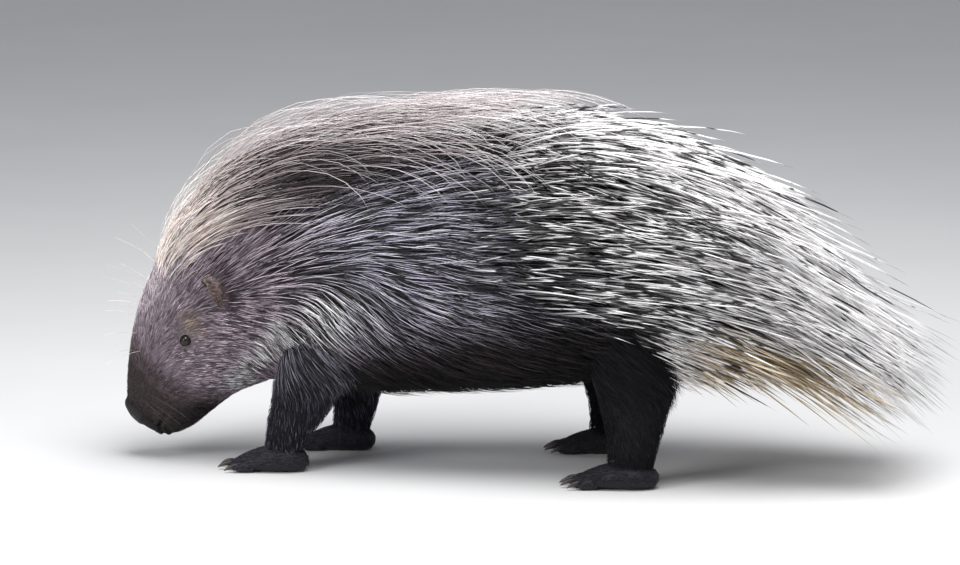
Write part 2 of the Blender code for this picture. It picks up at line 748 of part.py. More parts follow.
def grow(form, plans, others, rng):
    """The locks and quills of one node, bent clear of the other nodes or left out."""
    grown = []
    for plan in plans:
        is_quill = "radius" in plan
        for u, turn in roots(form, plan, rng):
            along = share_of(u, plan["stations"])
            if is_quill:
                length = between(plan["length"], along) * rng.uniform(0.88, 1.06)
                length *= between((1.0, plan["low_length"]), share_of(abs(turn), plan["turns"]))
            else:
                length = rng.uniform(*plan["length"])
            for attempt in range(plan.get("tries", TRIES)):
                if is_quill:
                    lift = between(plan["lift"], along) + rng.uniform(-2, 2) + LIFT_STEP * attempt
                    points, ups = quill_path(form, u, turn, plan, length, lift)
                    wide = plan["radius"] * 1.73
                    thick = plan["radius"] * 1.5
                else:
                    rise = rng.uniform(-0.002, 0.003) + RISE_STEP * attempt
                    points, ups = lock_path(form, u, turn, plan, length, rise)
                    wide, thick = plan["width"], plan["thickness"]
                bm = strand(points, ups, wide, thick)
                tree = swollen_tree(bm)
                low = min(v.co.z for v in bm.verts)
                if low > 0.01 and not any(tree.overlap(other) for other in others):
                    grown.append(bm)
                    break
                bm.free()
    return grown


def fuse(obj, grown):
    """Fuses the locks and quills to obj, and returns a search tree of them for its neighbours."""
    joined = bmesh.new()
    pieces = []
    for bm in grown:
        mesh = bpy.data.meshes.new("strand")
        bm.to_mesh(mesh)
        joined.from_mesh(mesh)
        bm.free()
        piece = bpy.data.objects.new("strand", mesh)
        bpy.context.scene.collection.objects.link(piece)
        pieces.append(piece)
    tree = BVHTree.FromBMesh(joined)
    joined.free()
    combine(obj, pieces, "UNION")
    return tree


def build_tail(form, torso):
    rings = [form.ring(u, LEG_SIDES) for u in steps(0.0, float(form.last), TRUNK_STEP)]
    rings += [form.ring(form.last + over, LEG_SIDES) for over in DOME_STEPS[::2]]
    tail = swept("tail", rings, form.point(form.last + 1.0, 0), "quills")
    meet(tail, [torso])
    return tail


def main():
    clear_scene()
    form = Form(BODY.values(), MUZZLE_DOME, RUMP_DOME)
    tail_form = Form(TAIL, 0.0, TAIL_DOME)
    nodes = {"head": build_head(form)}
    build_eyes(form)
    nodes["neck"] = body_piece("neck", form, HEAD_END, NECK_END, TRUNK_STEP, "bristles")
    nodes["torso"] = body_piece("torso", form, NECK_END, form.last + 1.0, TRUNK_STEP, "quills")
    for name, side in (("ear_left", LEFT), ("ear_right", RIGHT)):
        nodes[name] = build_ear(name, form, side, nodes["head"])
    hind_right = [(x + HIND_RIGHT_SHIFT, *rest) for x, *rest in HIND_LEFT]
    legs = (
        ("front_leg_left", "front_foot_left", FRONT_LEFT, LEFT, FRONT_FOOT),
        ("front_leg_right", "front_foot_right", FRONT_RIGHT, RIGHT, FRONT_FOOT),
        ("hind_leg_left", "hind_foot_left", HIND_LEFT, LEFT, HIND_FOOT),
        ("hind_leg_right", "hind_foot_right", hind_right, RIGHT, HIND_FOOT),
    )
    body = [nodes[name] for name in ("head", "neck", "torso")]
    for leg_name, foot_name, rows, side, plan in legs:
        nodes[leg_name] = build_leg(leg_name, rows, side, body)
        build_foot(foot_name, rows, side, plan)
    nodes["tail"] = build_tail(tail_form, nodes["torso"])

    rng = random.Random(SEED)
    cores = {name: object_tree(obj) for name, obj in nodes.items()}
    grown_trees = []
    for name in ("head", "neck", "tail", "torso"):
        plans = [plan for plan in (*LOCKS.values(), *QUILLS.values()) if plan["node"] == name]
        others = [tree for other, tree in cores.items() if other != name] + grown_trees
        grown = grow(tail_form if name == "tail" else form, plans, others, rng)
        grown_trees.append(fuse(nodes[name], grown))


main()
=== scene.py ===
import math

import bmesh
import bpy
import numpy as np
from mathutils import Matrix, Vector
from mathutils.bvhtree import BVHTree
from mathutils.kdtree import KDTree


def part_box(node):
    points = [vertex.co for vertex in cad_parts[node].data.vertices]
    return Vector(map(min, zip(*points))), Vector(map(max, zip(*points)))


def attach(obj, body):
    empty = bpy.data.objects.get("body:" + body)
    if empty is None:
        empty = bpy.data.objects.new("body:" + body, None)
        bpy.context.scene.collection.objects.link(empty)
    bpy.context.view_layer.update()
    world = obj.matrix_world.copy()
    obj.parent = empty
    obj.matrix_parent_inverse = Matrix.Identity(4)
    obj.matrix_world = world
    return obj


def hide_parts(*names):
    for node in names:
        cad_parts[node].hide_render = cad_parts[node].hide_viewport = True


# A crested porcupine, life size, walking with its head low. Metres, head towards -X. One skin
# carries everything; over it lie short fur, bristles, the crest and the banded quills.

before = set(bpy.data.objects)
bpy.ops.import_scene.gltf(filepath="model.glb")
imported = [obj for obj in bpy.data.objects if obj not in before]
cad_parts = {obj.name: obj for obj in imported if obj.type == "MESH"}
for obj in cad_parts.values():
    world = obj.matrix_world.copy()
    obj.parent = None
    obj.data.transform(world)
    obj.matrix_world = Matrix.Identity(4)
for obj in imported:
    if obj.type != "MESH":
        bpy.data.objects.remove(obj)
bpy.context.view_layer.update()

LEFT, RIGHT = -1, 1  # the animal's left side lies towards -Y
SIDES = {LEFT: "left", RIGHT: "right"}
DRAW = np.random.default_rng(23)

# The body's measures

# Stations of the body from the lips to the tail root: back x and z, belly x and z, half width,
# and the share of the height that lies above the widest level.
BODY = (
    (-0.504, 0.073, -0.448, 0.032, 0.025, 0.50),
    (-0.503, 0.107, -0.422, 0.041, 0.036, 0.50),
    (-0.497, 0.150, -0.395, 0.063, 0.046, 0.52),
    (-0.487, 0.193, -0.371, 0.081, 0.054, 0.52),
    (-0.470, 0.236, -0.342, 0.094, 0.061, 0.54),
    (-0.447, 0.278, -0.313, 0.102, 0.067, 0.55),
    (-0.407, 0.317, -0.288, 0.094, 0.078, 0.56),
    (-0.342, 0.357, -0.252, 0.086, 0.095, 0.58),
    (-0.256, 0.386, -0.191, 0.0855, 0.111, 0.59),
    (-0.144, 0.404, -0.119, 0.087, 0.122, 0.59),
    (-0.046, 0.413, -0.046, 0.0915, 0.130, 0.59),
    (0.051, 0.414, 0.027, 0.098, 0.134, 0.58),
    (0.136, 0.388, 0.099, 0.110, 0.128, 0.56),
    (0.196, 0.340, 0.160, 0.129, 0.108, 0.55),
    (0.230, 0.271, 0.202, 0.167, 0.070, 0.52),
)
TAIL = (
    (0.222, 0.238, 0.196, 0.180, 0.036, 0.5),
    (0.252, 0.222, 0.230, 0.164, 0.034, 0.5),
    (0.278, 0.202, 0.260, 0.154, 0.028, 0.5),
    (0.300, 0.182, 0.288, 0.148, 0.020, 0.5),
)
BODY_DOMES, TAIL_DOMES = (0.015, 0.020), (0.0, 0.012)  # how far the ends bulge, front and rear
SQUARENESS = 0.90

# Legs: centre x, distance from the midline, centre z, half length and half width.
FRONT_LEFT = (
    (-0.232, 0.056, 0.200, 0.052, 0.036),
    (-0.250, 0.060, 0.160, 0.050, 0.036),
    (-0.266, 0.062, 0.120, 0.044, 0.034),
    (-0.279, 0.061, 0.086, 0.037, 0.030),
    (-0.293, 0.060, 0.055, 0.029, 0.025),
    (-0.300, 0.060, 0.030, 0.024, 0.022),
)
FRONT_RIGHT = (
    (-0.222, 0.060, 0.200, 0.052, 0.036),
    (-0.226, 0.066, 0.160, 0.047, 0.036),
    (-0.230, 0.071, 0.120, 0.040, 0.033),
    (-0.233, 0.074, 0.086, 0.034, 0.029),
    (-0.236, 0.075, 0.055, 0.028, 0.025),
    (-0.240, 0.075, 0.030, 0.024, 0.022),
)
HIND_LEFT = (
    (0.112, 0.066, 0.210, 0.070, 0.044),
    (0.120, 0.076, 0.170, 0.061, 0.042),
    (0.126, 0.086, 0.130, 0.051, 0.038),
    (0.128, 0.093, 0.090, 0.041, 0.034),
    (0.127, 0.097, 0.058, 0.033, 0.029),
    (0.124, 0.099, 0.032, 0.029, 0.026),
)
HIND_RIGHT = tuple((row[0] - 0.044,) + row[1:] for row in HIND_LEFT)
FRONT_FOOT = {"length": 0.086, "half_width": 0.024, "toes": 4, "heel": 0.022}
HIND_FOOT = {"length": 0.094, "half_width": 0.026, "toes": 5, "heel": 0.026}
LEGS = (
    ("front_left", FRONT_LEFT, LEFT, FRONT_FOOT),
    ("front_right", FRONT_RIGHT, RIGHT, FRONT_FOOT),
    ("hind_left", HIND_LEFT, LEFT, HIND_FOOT),
    ("hind_right", HIND_RIGHT, RIGHT, HIND_FOOT),
)
# The palm from heel to toes: share of the foot's length, centre z, half height, share of width.
PALM = (
    (-0.04, 0.010, 0.010, 0.55),
    (0.08, 0.013, 0.015, 0.85),
    (0.24, 0.016, 0.019, 1.0),
    (0.55, 0.013, 0.015, 1.05),
    (0.76, 0.010, 0.011, 1.0),
    (0.87, 0.008, 0.008, 0.8),
)
TOE_RADIUS, TOE_LENGTH, TOE_SPREAD, TOE_STAGGER = 0.0075, 0.030, 0.80, 0.012
CLAW_LENGTH, CLAW_RADIUS = 0.017, 0.0032

EYE_STATION, EYE_TURN = 3.5, 84.0
EYE_RADIUS, EYE_DEPTH = 0.0072, 0.0040
EAR_STATION, EAR_TURN = 5.36, 74.0
EAR_HEIGHT, EAR_HALF_WIDTH, EAR_THICKNESS = 0.046, 0.0185, 0.0022
EAR_ROOT, EAR_CUP, EAR_BEND = 0.010, 0.008, 0.002
EAR_LEAN = (0.85, 0.52, 0.26)  # how much the ear points out, back and up
EAR_HOLLOW = (0.75, -0.65)  # how much its hollow faces out and back
WHISKER_REACH = 0.534  # how far ahead of the middle the longest whiskers end
LEG_DEPTH, PALM_DEPTH, TOE_DEPTH, TAIL_DEPTH = 0.004, 0.0008, 0.0004, 0.004  # of skin in its form
SOLE = 0.0004  # height at which the soles are cut flat
LEG_TUFTS, FOOT_TUFTS, EAR_TUFTS = 3800, 1700, 1700
NOSTRIL_STATION, NOSTRIL_TURN = -0.42, 42.0
NOSE_EDGE = ((0.02, 0), (-0.02, 45), (-0.16, 78), (-0.42, 104))
MOUTH_LINE = ((0.85, 112), (0.4, 116), (0.0, 122), (-0.25, 138), (-0.38, 180))


# Sums on whole arrays


def smooth(value, low, high):
    """0 up to low, 1 from high on, and an even curve between. low may be above high."""
    t = np.clip((np.asarray(value, float) - low) / (high - low), 0.0, 1.0)
    return t * t * (3 - 2 * t)


def mix(a, b, share):
    return a + (b - a) * np.asarray(share)[..., None]


def unit(vectors):
    size = np.linalg.norm(vectors, axis=-1, keepdims=True)
    return vectors / np.maximum(size, 1e-12)


def dot(a, b):
    return np.sum(a * b, axis=-1, keepdims=True)


def part_way(limits, share):
    """The value at a share of the way between two limits."""
    return limits[0] + (limits[1] - limits[0]) * share


def evenly(order):
    """Two shares from 0 to 1 for each number in the order, which fill a square evenly."""
    return (order * 0.7548776662466927) % 1, (order * 0.5698402909980532) % 1


def paint(red, green, blue):
    """A colour as it looks on a screen, 0 to 255, as light."""
    values = np.array((red, green, blue)) / 255
    return np.where(values <= 0.04045, values / 12.92, ((values + 0.055) / 1.055) ** 2.4)


def through(rows, u):
    """Rows at u, on a smooth curve through all of them."""
    rows = np.asarray(rows, float)
    last = len(rows) - 1
    i = np.clip(np.floor(u).astype(int), 0, last - 1)
    t = (u - i)[..., None]
    start = (rows[i + 1] - rows[np.maximum(i - 1, 0)]) / 2
    end = (rows[np.minimum(i + 2, last)] - rows[i]) / 2
    rise = rows[i] * (2 * t**3 - 3 * t**2 + 1) + rows[i + 1] * (3 * t**2 - 2 * t**3)
    return rise + start * (t**3 - 2 * t**2 + t) + end * (t**3 - t**2)


def together(points, u, *poles):
    """Draws the points at each pole into one."""
    for pole in poles:
        ring = np.abs(u - pole) < 1e-6
        points[ring] = points[ring].mean(axis=0)
    return points


def search_tree(places):
    tree = KDTree(len(places))
    for k, place in enumerate(places):
        tree.insert(place, k)
    tree.balance()
    return tree


class Surface:
    """What the body and the limbs share: u runs along them, a turn in degrees round them."""

    def __init__(self, rows, domes):
        self.rows, self.domes = np.array(rows), domes
        self.last = len(rows) - 1

    def ends(self, u):
        """u within the rows, and how the domes past both ends shrink and how far they reach."""
        inside = np.clip(u, 0.0, self.last)
        over = np.clip(u - inside, -1.0, 1.0)
        angle = np.abs(over) * math.pi / 2
        dome = np.where(over > 0, self.domes[1], -self.domes[0])
        return inside, np.cos(angle), dome * np.sin(angle)

    def frame(self, u, turn):
        """The point, the outward normal, and the moves per station and, downwards, per degree."""
        u = np.clip(u, -0.95, self.last + 0.95)
        way = np.where(turn >= 0, 1.0, -1.0)
        along = (self.point(u + 0.02, turn) - self.point(u - 0.02, turn)) / 0.04
        down = (self.point(u, turn + way) - self.point(u, turn - way)) / 2
        outward = unit(np.cross(down, along) * way[..., None])
        return self.point(u, turn), outward, along, down


class Form(Surface):
    """The body or the tail, hung between a back line and a belly line."""

    def point(self, u, turn):
        u, turn = np.broadcast_arrays(np.asarray(u, float), np.asarray(turn, float))
        inside, shrink, dome = self.ends(u)
        row = through(self.rows, inside)
        down = row[..., 2:4] - row[..., 0:2]
        outward = np.stack((-down[..., 1], down[..., 0]), -1)
        outward /= np.linalg.norm(down, axis=-1, keepdims=True)
        centre = row[..., 0:2] + down * row[..., 5:6] + outward * dome[..., None]
        angle = np.radians(turn)
        up = np.cos(angle)
        reach = np.where(up > 0, row[..., 5], 1 - row[..., 5])
        side = np.sign(np.sin(angle)) * np.abs(np.sin(angle)) ** SQUARENESS
        flat = centre - down * (up * reach * shrink)[..., None]
        return np.stack((flat[..., 0], LEFT * side * row[..., 4] * shrink, flat[..., 1]), -1)


class Limb(Surface):
    """A leg, palm, toe or claw: ovals on a curved centre line."""

    def __init__(self, centres, lengthways, crossways, domes=(0.0, 0.0)):
        super().__init__(np.hstack((centres, np.c_[lengthways, crossways])), domes)

    def point(self, u, turn):
        u, turn = np.broadcast_arrays(np.asarray(u, float), np.asarray(turn, float))
        inside, shrink, dome = self.ends(u)
        row = through(self.rows, inside)
        close = np.clip(inside, 0.03, self.last - 0.03)
        ahead = unit(through(self.rows, close + 0.03)[..., :3] - through(self.rows, close - 0.03)[..., :3])
        lengthways = unit(np.stack((-ahead[..., 2], 0 * inside, ahead[..., 0]), -1))
        crossways = unit(np.cross(ahead, lengthways))
        angle = np.radians(turn)[..., None]
        oval = lengthways * np.cos(angle) * row[..., 3:4] + crossways * np.sin(angle) * row[..., 4:5]
        return row[..., :3] + ahead * dome[..., None] + oval * shrink[..., None]


def leg_form(rows, side):
    centres = np.array([(row[0], side * row[1], row[2]) for row in rows])
    sizes = np.array([row[3:5] for row in rows])
    return Limb(centres, sizes[:, 0], sizes[:, 1])


def palm_form(rows, side, plan):
    heel = rows[-1][0] + plan["heel"]
    centres = [(heel - plan["length"] * share, side * rows[-1][1], z) for share, z, _, _ in PALM]
    heights = [row[2] for row in PALM]
    widths = [row[3] * plan["half_width"] for row in PALM]
    return Limb(np.array(centres), heights, widths, (0.004, 0.004))


def toe_forms(rows, side, plan):
    """Each toe, and its claw, lying forwards along the floor."""
    front = rows[-1][0] + plan["heel"] - plan["length"]
    middle = side * rows[-1][1]
    for k in range(plan["toes"]):
        share = 2 * k / (plan["toes"] - 1) - 1
        y = side * share * plan["half_width"] * TOE_SPREAD
        start = np.array((front + TOE_LENGTH, middle + y * 0.9, TOE_RADIUS * 0.9))
        end = np.array((front + TOE_STAGGER * share**2, middle + y * 1.15, TOE_RADIUS * 0.8))
        ahead = unit(end - start)
        joints = [start + (end - start) * at for at in (0.0, 0.35, 0.7, 1.0)]
        joints[1][2] += 0.0012
        joints[2][2] += 0.0006
        sizes = TOE_RADIUS * np.array((0.9, 1.0, 0.86, 0.74))
        toe = Limb(np.array(joints), sizes, sizes * 0.92, (0.0, 0.004))
        bend = ((-0.35, 0.0), (0.15, 0.0018), (0.5, 0.0012), (0.8, -0.0008), (1.0, -0.0030))
        centres = np.array([end + ahead * CLAW_LENGTH * at + (0, 0, rise + 0.0008) for at, rise in bend])
        radii = CLAW_RADIUS * np.array((0.85, 1.0, 0.82, 0.55, 0.16))
        yield toe, Limb(centres, radii, radii * 0.72, (0.001, 0.0004))


body = Form(BODY, BODY_DOMES)
tail = Form(TAIL, TAIL_DOMES)


# Coat depth, folds and markings


def coat_depth(u):
    """How far the skin lies inside the outline."""
    stations = (-1, 0.4, 2.0, 4.0, 5.5, 7.0, 9.0, 13.0, 14.0, 16.0)
    depths = (0.0003, 0.0007, 0.0016, 0.0025, 0.005, 0.009, 0.012, 0.012, 0.010, 0.007)
    return np.interp(u, stations, depths)


def hill(u, turn, station, at, reach_u, reach_turn):
    """1 at a station and, on both sides, a turn, and down to 0 around it."""
    return np.exp(-(((u - station) / reach_u) ** 2) - ((np.abs(turn) - at) / reach_turn) ** 2)


def near_line(u, turn, line):
    """Metres to a line of (station, turn) on the muzzle."""
    size = np.array((0.036, 0.0007))
    place = np.stack((u, np.abs(turn)), -1) * size
    points = np.array(line) * size
    nearest = np.full(np.shape(u), 1.0)
    for a, b in zip(points, points[1:]):
        share = np.clip(dot(place - a, b - a)[..., 0] / np.sum((b - a) ** 2), 0, 1)
        away = place - a - (b - a) * share[..., None]
        nearest = np.minimum(nearest, np.linalg.norm(away, axis=-1))
    return nearest


def folds(u, turn):
    """What the flesh adds to the swept form: brow, socket, jaw, whisker pad, nostrils, lips."""
    socket = hill(u, turn, EYE_STATION, EYE_TURN, 0.24, 9)
    brow = hill(u, turn, 4.0, 66, 0.32, 13)
    below = hill(u, turn, 3.1, 100, 0.25, 12)
    jaw = hill(u, turn, 2.9, 124, 0.9, 26)
    pad = hill(u, turn, 0.95, 92, 0.55, 24)
    chin = hill(u, turn, 0.3, 172, 0.5, 22)
    nostril = hill(u, turn, NOSTRIL_STATION, NOSTRIL_TURN, 0.085, 13)
    rim = hill(u, turn, NOSTRIL_STATION, NOSTRIL_TURN, 0.20, 24) - nostril
    cleft = hill(u, turn, -0.62, 0, 0.34, 6)
    lips = near_line(u, turn, MOUTH_LINE)
    mouth = np.exp(-((lips / 0.0020) ** 2))
    lip_edge = np.exp(-(((lips - 0.0050) / 0.0026) ** 2))
    shape = -0.0022 * socket + 0.0022 * brow + 0.0008 * below + 0.0030 * jaw + 0.0026 * pad
    shape += 0.0024 * chin - 0.0052 * nostril + 0.0013 * rim - 0.0010 * cleft
    nose = smooth(u, 0.15, -0.25) * smooth(np.abs(turn), 105, 70)
    edge = np.exp(-((near_line(u, turn, NOSE_EDGE) / 0.0022) ** 2))
    return shape - 0.0036 * mouth + 0.0014 * lip_edge + 0.0022 * nose - 0.0012 * edge


def skin_place(u, turn):
    """A place on the skin, and the outward normal there."""
    _, outward, _, _ = body.frame(u, turn)
    return body.point(u, turn) + outward * (folds(u, turn) - coat_depth(u))[..., None], outward


NOSE = paint(27, 20, 20)
MUZZLE_BROWN = paint(60, 48, 47)
FACE_GREY = paint(146, 132, 142)
FOREHEAD = paint(216, 201, 208)
EYE_PATCH = paint(150, 132, 112)
CHIN_DARK_AND_SHADE = paint(34, 26, 28)
EAR_BROWN = paint(156, 136, 122)
NECK_GREY = paint(146, 134, 142)
FLANK_GREY = paint(148, 145, 157)
LOW_FLANK = paint(48, 39, 43)
BELLY_BLACK_AND_SHADE = paint(16, 12, 13)
LEG_BLACK = paint(42, 40, 48)
COLLAR_WHITE = paint(255, 254, 255)
CREST_WHITE = paint(252, 248, 248)
CREST_TAN = paint(236, 221, 213)
CREST_GREY = paint(150, 136, 138)
CREST_BROWN = paint(92, 78, 82)
QUILL_WHITE = paint(254, 251, 251)
QUILL_CREAM = paint(228, 200, 150)
QUILL_DARK = paint(22, 19, 22)
SOCKET_GREY = paint(92, 80, 84)
LID_GREY = paint(120, 106, 110)
LID_RIM = paint(20, 16, 18)
SOLE_BROWN = paint(60, 50, 50)
HORN_ROOT = paint(36, 31, 32)
HORN_TIP = paint(84, 74, 70)
WHISKER_DARK = paint(96, 82, 80)
WHISKER_PALE = paint(244, 232, 222)


# The line from the shoulder down to the throat where the white tips end: turns and stations.
COLLAR = ((70, 84, 98, 112, 122, 127, 150), (8.6, 7.95, 7.2, 6.2, 5.25, 4.5, 4.1))


def collar_line(u, turn):
    """How many stations a place lies behind the collar's line."""
    return u - np.interp(np.abs(turn), *COLLAR)


def markings(u, turn):
    """The colour at the tips of the short coat on the body."""
    t = np.abs(turn)
    colour = mix(FACE_GREY, NECK_GREY, smooth(u, 4.6, 6.0))
    colour = mix(colour, FOREHEAD, smooth(u, 2.0, 4.0) * smooth(t, 62, 20))
    colour = mix(colour, EYE_PATCH, 0.7 * hill(u, t, 3.95, 78, 0.28, 10))
    colour = mix(colour, MUZZLE_BROWN, smooth(u, 2.5, 1.2))
    # Under the jaw darker: partly the chin's own dark fur, partly painted shade.
    colour = mix(colour, CHIN_DARK_AND_SHADE, smooth(u, 3.0, 1.4) * smooth(t, 112, 140))
    colour = mix(colour, NOSE, smooth(u, 0.7, -0.1))
    colour = mix(colour, FLANK_GREY, smooth(u, 6.4, 8.0))
    colour = mix(colour, FLANK_GREY * 0.5, smooth(u, 8.8, 10.6))
    colour = mix(colour, LOW_FLANK, smooth(u, 6.6, 8.0) * smooth(t, 88, 112))
    edge = 124 + 4 * np.sin(u * 2.1)
    # The belly's black: partly the coat's own dark colour, partly painted shade under the body.
    colour = mix(colour, BELLY_BLACK_AND_SHADE, smooth(u, 6.2, 7.4) * smooth(t, edge - 12, edge + 8))
    return colour


# Finishes


class Link:
    """A node's output, on which Python's sums add Math nodes."""

    def __init__(self, finish, socket):
        self.finish, self.socket = finish, socket

    def sum(self, operation, *values):
        node = self.finish.node("ShaderNodeMath", {"operation": operation}, dict(enumerate(values)))
        return node("Value")

    def __add__(self, other):
        return self.sum("ADD", self, other)

    def __sub__(self, other):
        return self.sum("SUBTRACT", self, other)

    def __rsub__(self, other):
        return self.sum("SUBTRACT", other, self)

    def __mul__(self, other):
        return self.sum("MULTIPLY", self, other)

    def __truediv__(self, other):
        return self.sum("DIVIDE", self, other)

    def __rtruediv__(self, other):
        return self.sum("DIVIDE", other, self)

    def __abs__(self):
        return self.sum("ABSOLUTE", self)

    __radd__, __rmul__ = __add__, __mul__

    def fract(self):
        return self.sum("FRACT", self)

    def between(self, low, high):
        """0 to 1 as this goes from low to high, on an even curve."""
        settings = {"interpolation_type": "SMOOTHSTEP"}
        return self.finish.node("ShaderNodeMapRange", settings, {0: self, 1: low, 2: high})("Result")


class Finish:
    """A material, with its shader and the nodes that feed it."""

    def __init__(self, name, **sockets):
        self.material = bpy.data.materials.new(name)
        self.material.use_nodes = True
        self.tree = self.material.node_tree
        self.shader = self.tree.nodes["Principled BSDF"]
        self.feed(**sockets)

    def connect(self, socket, value):
        if isinstance(value, Link):
            self.tree.links.new(value.socket, socket)
        elif hasattr(socket.default_value, "__len__") and len(value) == 3:
            size = len(socket.default_value)
            socket.default_value = tuple(value) + (1.0,) * (size - 3)
        else:
            socket.default_value = value

    def node(self, kind, settings=None, values=None):
        node = self.tree.nodes.new(kind)
        for name, setting in (settings or {}).items():
            if name == "stops":
                ramp = node.color_ramp
                for stop, (at, colour) in enumerate(setting):
                    element = ramp.elements[stop] if stop < 2 else ramp.elements.new(at)
                    element.position, element.color = at, (*colour, 1.0)
            else:
                setattr(node, name, setting)
        for name, value in (values or {}).items():
            self.connect(node.inputs[name], value)
        return lambda output: Link(self, node.outputs[output])

    def feed(self, **sockets):
        """Sets or links the shader's sockets, with _ for the spaces in their names."""
        for name, value in sockets.items():
            self.connect(self.shader.inputs[name.replace("_", " ")], value)

    def place(self):
        return self.node("ShaderNodeTexCoord")("Object")

    def stretched(self, share):
        """The place, with marks drawn out lengthways."""
        values = {"Vector": self.place(), "Scale": (share, 1.0, 1.0)}
        return self.node("ShaderNodeMapping", None, values)("Vector")

    def attribute(self, name, output="Fac"):
        return self.node("ShaderNodeAttribute", {"attribute_name": name})(output)

    def noise(self, scale, detail=3.0, where=None):
        values = {"Vector": where or self.place(), "Scale": scale, "Detail": detail, "Roughness": 0.55}
        return self.node("ShaderNodeTexNoise", None, values)("Fac")

    def blend(self, share, a, b, way="MIX"):
        settings = {"data_type": "RGBA", "blend_type": way, "clamp_factor": True}
        return self.node("ShaderNodeMix", settings, {0: share, 6: a, 7: b})(2)

    def grey(self, value):
        return self.node("ShaderNodeCombineColor", None, {0: value, 1: value, 2: value})("Color")

    def bump(self, height, strength, distance):
        values = {"Height": height, "Strength": strength, "Distance": distance}
        return self.node("ShaderNodeBump", None, values)("Normal")


def hair_finish(name, roughness, gloss):
    """Fur or bristles: the painted tints, cloudier from hair to hair, with a soft gloss."""
    finish = Finish(name, Specular_IOR_Level=gloss)
    tint = finish.attribute("tint", "Color")
    cloud = finish.noise(38.0, 4.0) * 0.5 + finish.noise(420.0, 2.0) * 0.5
    shade = finish.grey(cloud * 0.9 + 0.55)
    colour = finish.blend(1.0, tint, shade, "MULTIPLY")
    finish.feed(Base_Color=colour, Roughness=cloud * 0.25 + (roughness - 0.12))
    return finish.material


def quill_finish():
    """Quills with dark bands on a pale shaft, counted from the tip, and a hard gloss."""
    finish = Finish("quills", Specular_IOR_Level=0.55)
    from_tip = finish.attribute("from_tip")
    chance = finish.attribute("chance")
    pale = finish.attribute("pale")
    step = from_tip / (chance * 0.050 + 0.075)
    wobble = finish.noise(160.0, 2.0) * 0.10 - 0.05
    band = abs(step.fract() - 0.5) * 2.0 + wobble
    white = band.between(1.0 - pale - 0.07, 1.0 - pale + 0.07)
    tint = finish.attribute("tint", "Color")
    streak = finish.grey(finish.noise(300.0, 3.0) * 0.5 + 0.72)
    shaft = finish.blend(1.0, tint, streak, "MULTIPLY")
    finish.feed(
        Base_Color=finish.blend(white, QUILL_DARK, shaft),
        Roughness=finish.noise(220.0) * 0.16 + 0.28,
    )
    return finish.material


def skin_finish():
    """Hide with fine creases, dulled fur colour where the coat lies flat, and a damp nose."""
    finish = Finish("skin", Specular_IOR_Level=0.45)
    bare = finish.attribute("bare")
    tint = finish.attribute("tint", "Color")
    cells = {"Vector": finish.place(), "Scale": 900.0}
    pores = finish.node("ShaderNodeTexVoronoi", None, cells)("Distance")
    nap = finish.noise(900.0, 4.0, finish.stretched(0.35))
    clouds = finish.noise(45.0)
    shade = finish.grey(nap * 0.7 + clouds * 0.4 + 0.35)
    finish.feed(
        Base_Color=finish.blend(1.0, tint, shade, "MULTIPLY"),
        Roughness=0.72 - bare * 0.30 + nap * 0.12,
        Normal=finish.bump(nap * (1.0 - bare) + pores * bare, 0.55, 0.0010),
    )
    return finish.material


# The eye's colours, from the middle of the pupil out to the rim.
EYE_STOPS = (
    (0.0, (0.002, 0.002, 0.002)), (0.36, (0.002, 0.002, 0.002)), (0.42, (0.020, 0.011, 0.006)),
    (0.72, (0.012, 0.007, 0.004)), (0.86, (0.004, 0.003, 0.003)),
)


def eye_finish():
    """A dark brown iris round a black pupil, with a wet gloss."""
    finish = Finish("eye", Specular_IOR_Level=0.5)
    rays = finish.noise(700.0, 2.0) * 0.06
    share = finish.attribute("gaze") + rays
    iris = finish.node("ShaderNodeValToRGB", {"stops": EYE_STOPS}, {"Fac": share})("Color")
    finish.feed(Base_Color=iris, Roughness=finish.noise(300.0) * 0.03 + 0.03)
    return finish.material


def claw_finish():
    finish = Finish("claws", Specular_IOR_Level=0.5)
    grain = finish.noise(900.0, 4.0, finish.stretched(0.2))
    tip = finish.attribute("along")
    horn = finish.blend(tip.between(0.45, 1.0), HORN_ROOT, HORN_TIP)
    finish.feed(
        Base_Color=finish.blend(1.0, horn, finish.grey(grain * 0.6 + 0.6), "MULTIPLY"),
        Roughness=grain * 0.2 + 0.32,
        Normal=finish.bump(grain, 0.3, 0.0004),
    )
    return finish.material


def floor_finish():
    finish = Finish("floor", Specular_IOR_Level=0.2)
    clouds = finish.noise(3.0) * 0.05 + 0.60
    finish.feed(Base_Color=finish.grey(clouds), Roughness=finish.noise(12.0) * 0.1 + 0.8)
    return finish.material


# Making meshes


def mesh_from(name, bm):
    """A mesh of the bmesh, which is freed."""
    mesh = bpy.data.meshes.new(name)
    bm.to_mesh(mesh)
    bm.free()
    return mesh


def linked(name, data):
    obj = bpy.data.objects.new(name, data)
    bpy.context.scene.collection.objects.link(obj)
    return obj


def add_object(name, mesh, finish):
    obj = linked(name, mesh)
    mesh.materials.append(finish)
    mesh.shade_smooth()
    return obj


def fixed(piece):
    """Lets a piece ride on the one body."""
    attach(piece, "root")


def wrapped_grid(sides, rows, place, weld):
    """A grid wrapped into a tube. place gives its points by row and turn, weld closes the seam."""
    bm = bmesh.new()
    bmesh.ops.create_grid(bm, x_segments=sides, y_segments=rows, size=0.5)
    flat = np.array([vertex.co[:2] for vertex in bm.verts]) + 0.5
    for vertex, point in zip(bm.verts, place(flat[:, 1], flat[:, 0] * 360)):
        vertex.co = point
    bmesh.ops.remove_doubles(bm, verts=bm.verts, dist=weld)
    return bm


def lofted(stations, sides, place):
    """A closed tube with welded seam and poles. place gives its points by station and turn."""
    last = len(stations) - 1

    def placed(share, turn):
        return place(np.interp(share * last, np.arange(last + 1), stations), turn)

    bm = wrapped_grid(sides, last, placed, 2e-5)
    bmesh.ops.holes_fill(bm, edges=[edge for edge in bm.edges if edge.is_boundary])
    bmesh.ops.recalc_face_normals(bm, faces=bm.faces)
    return bm


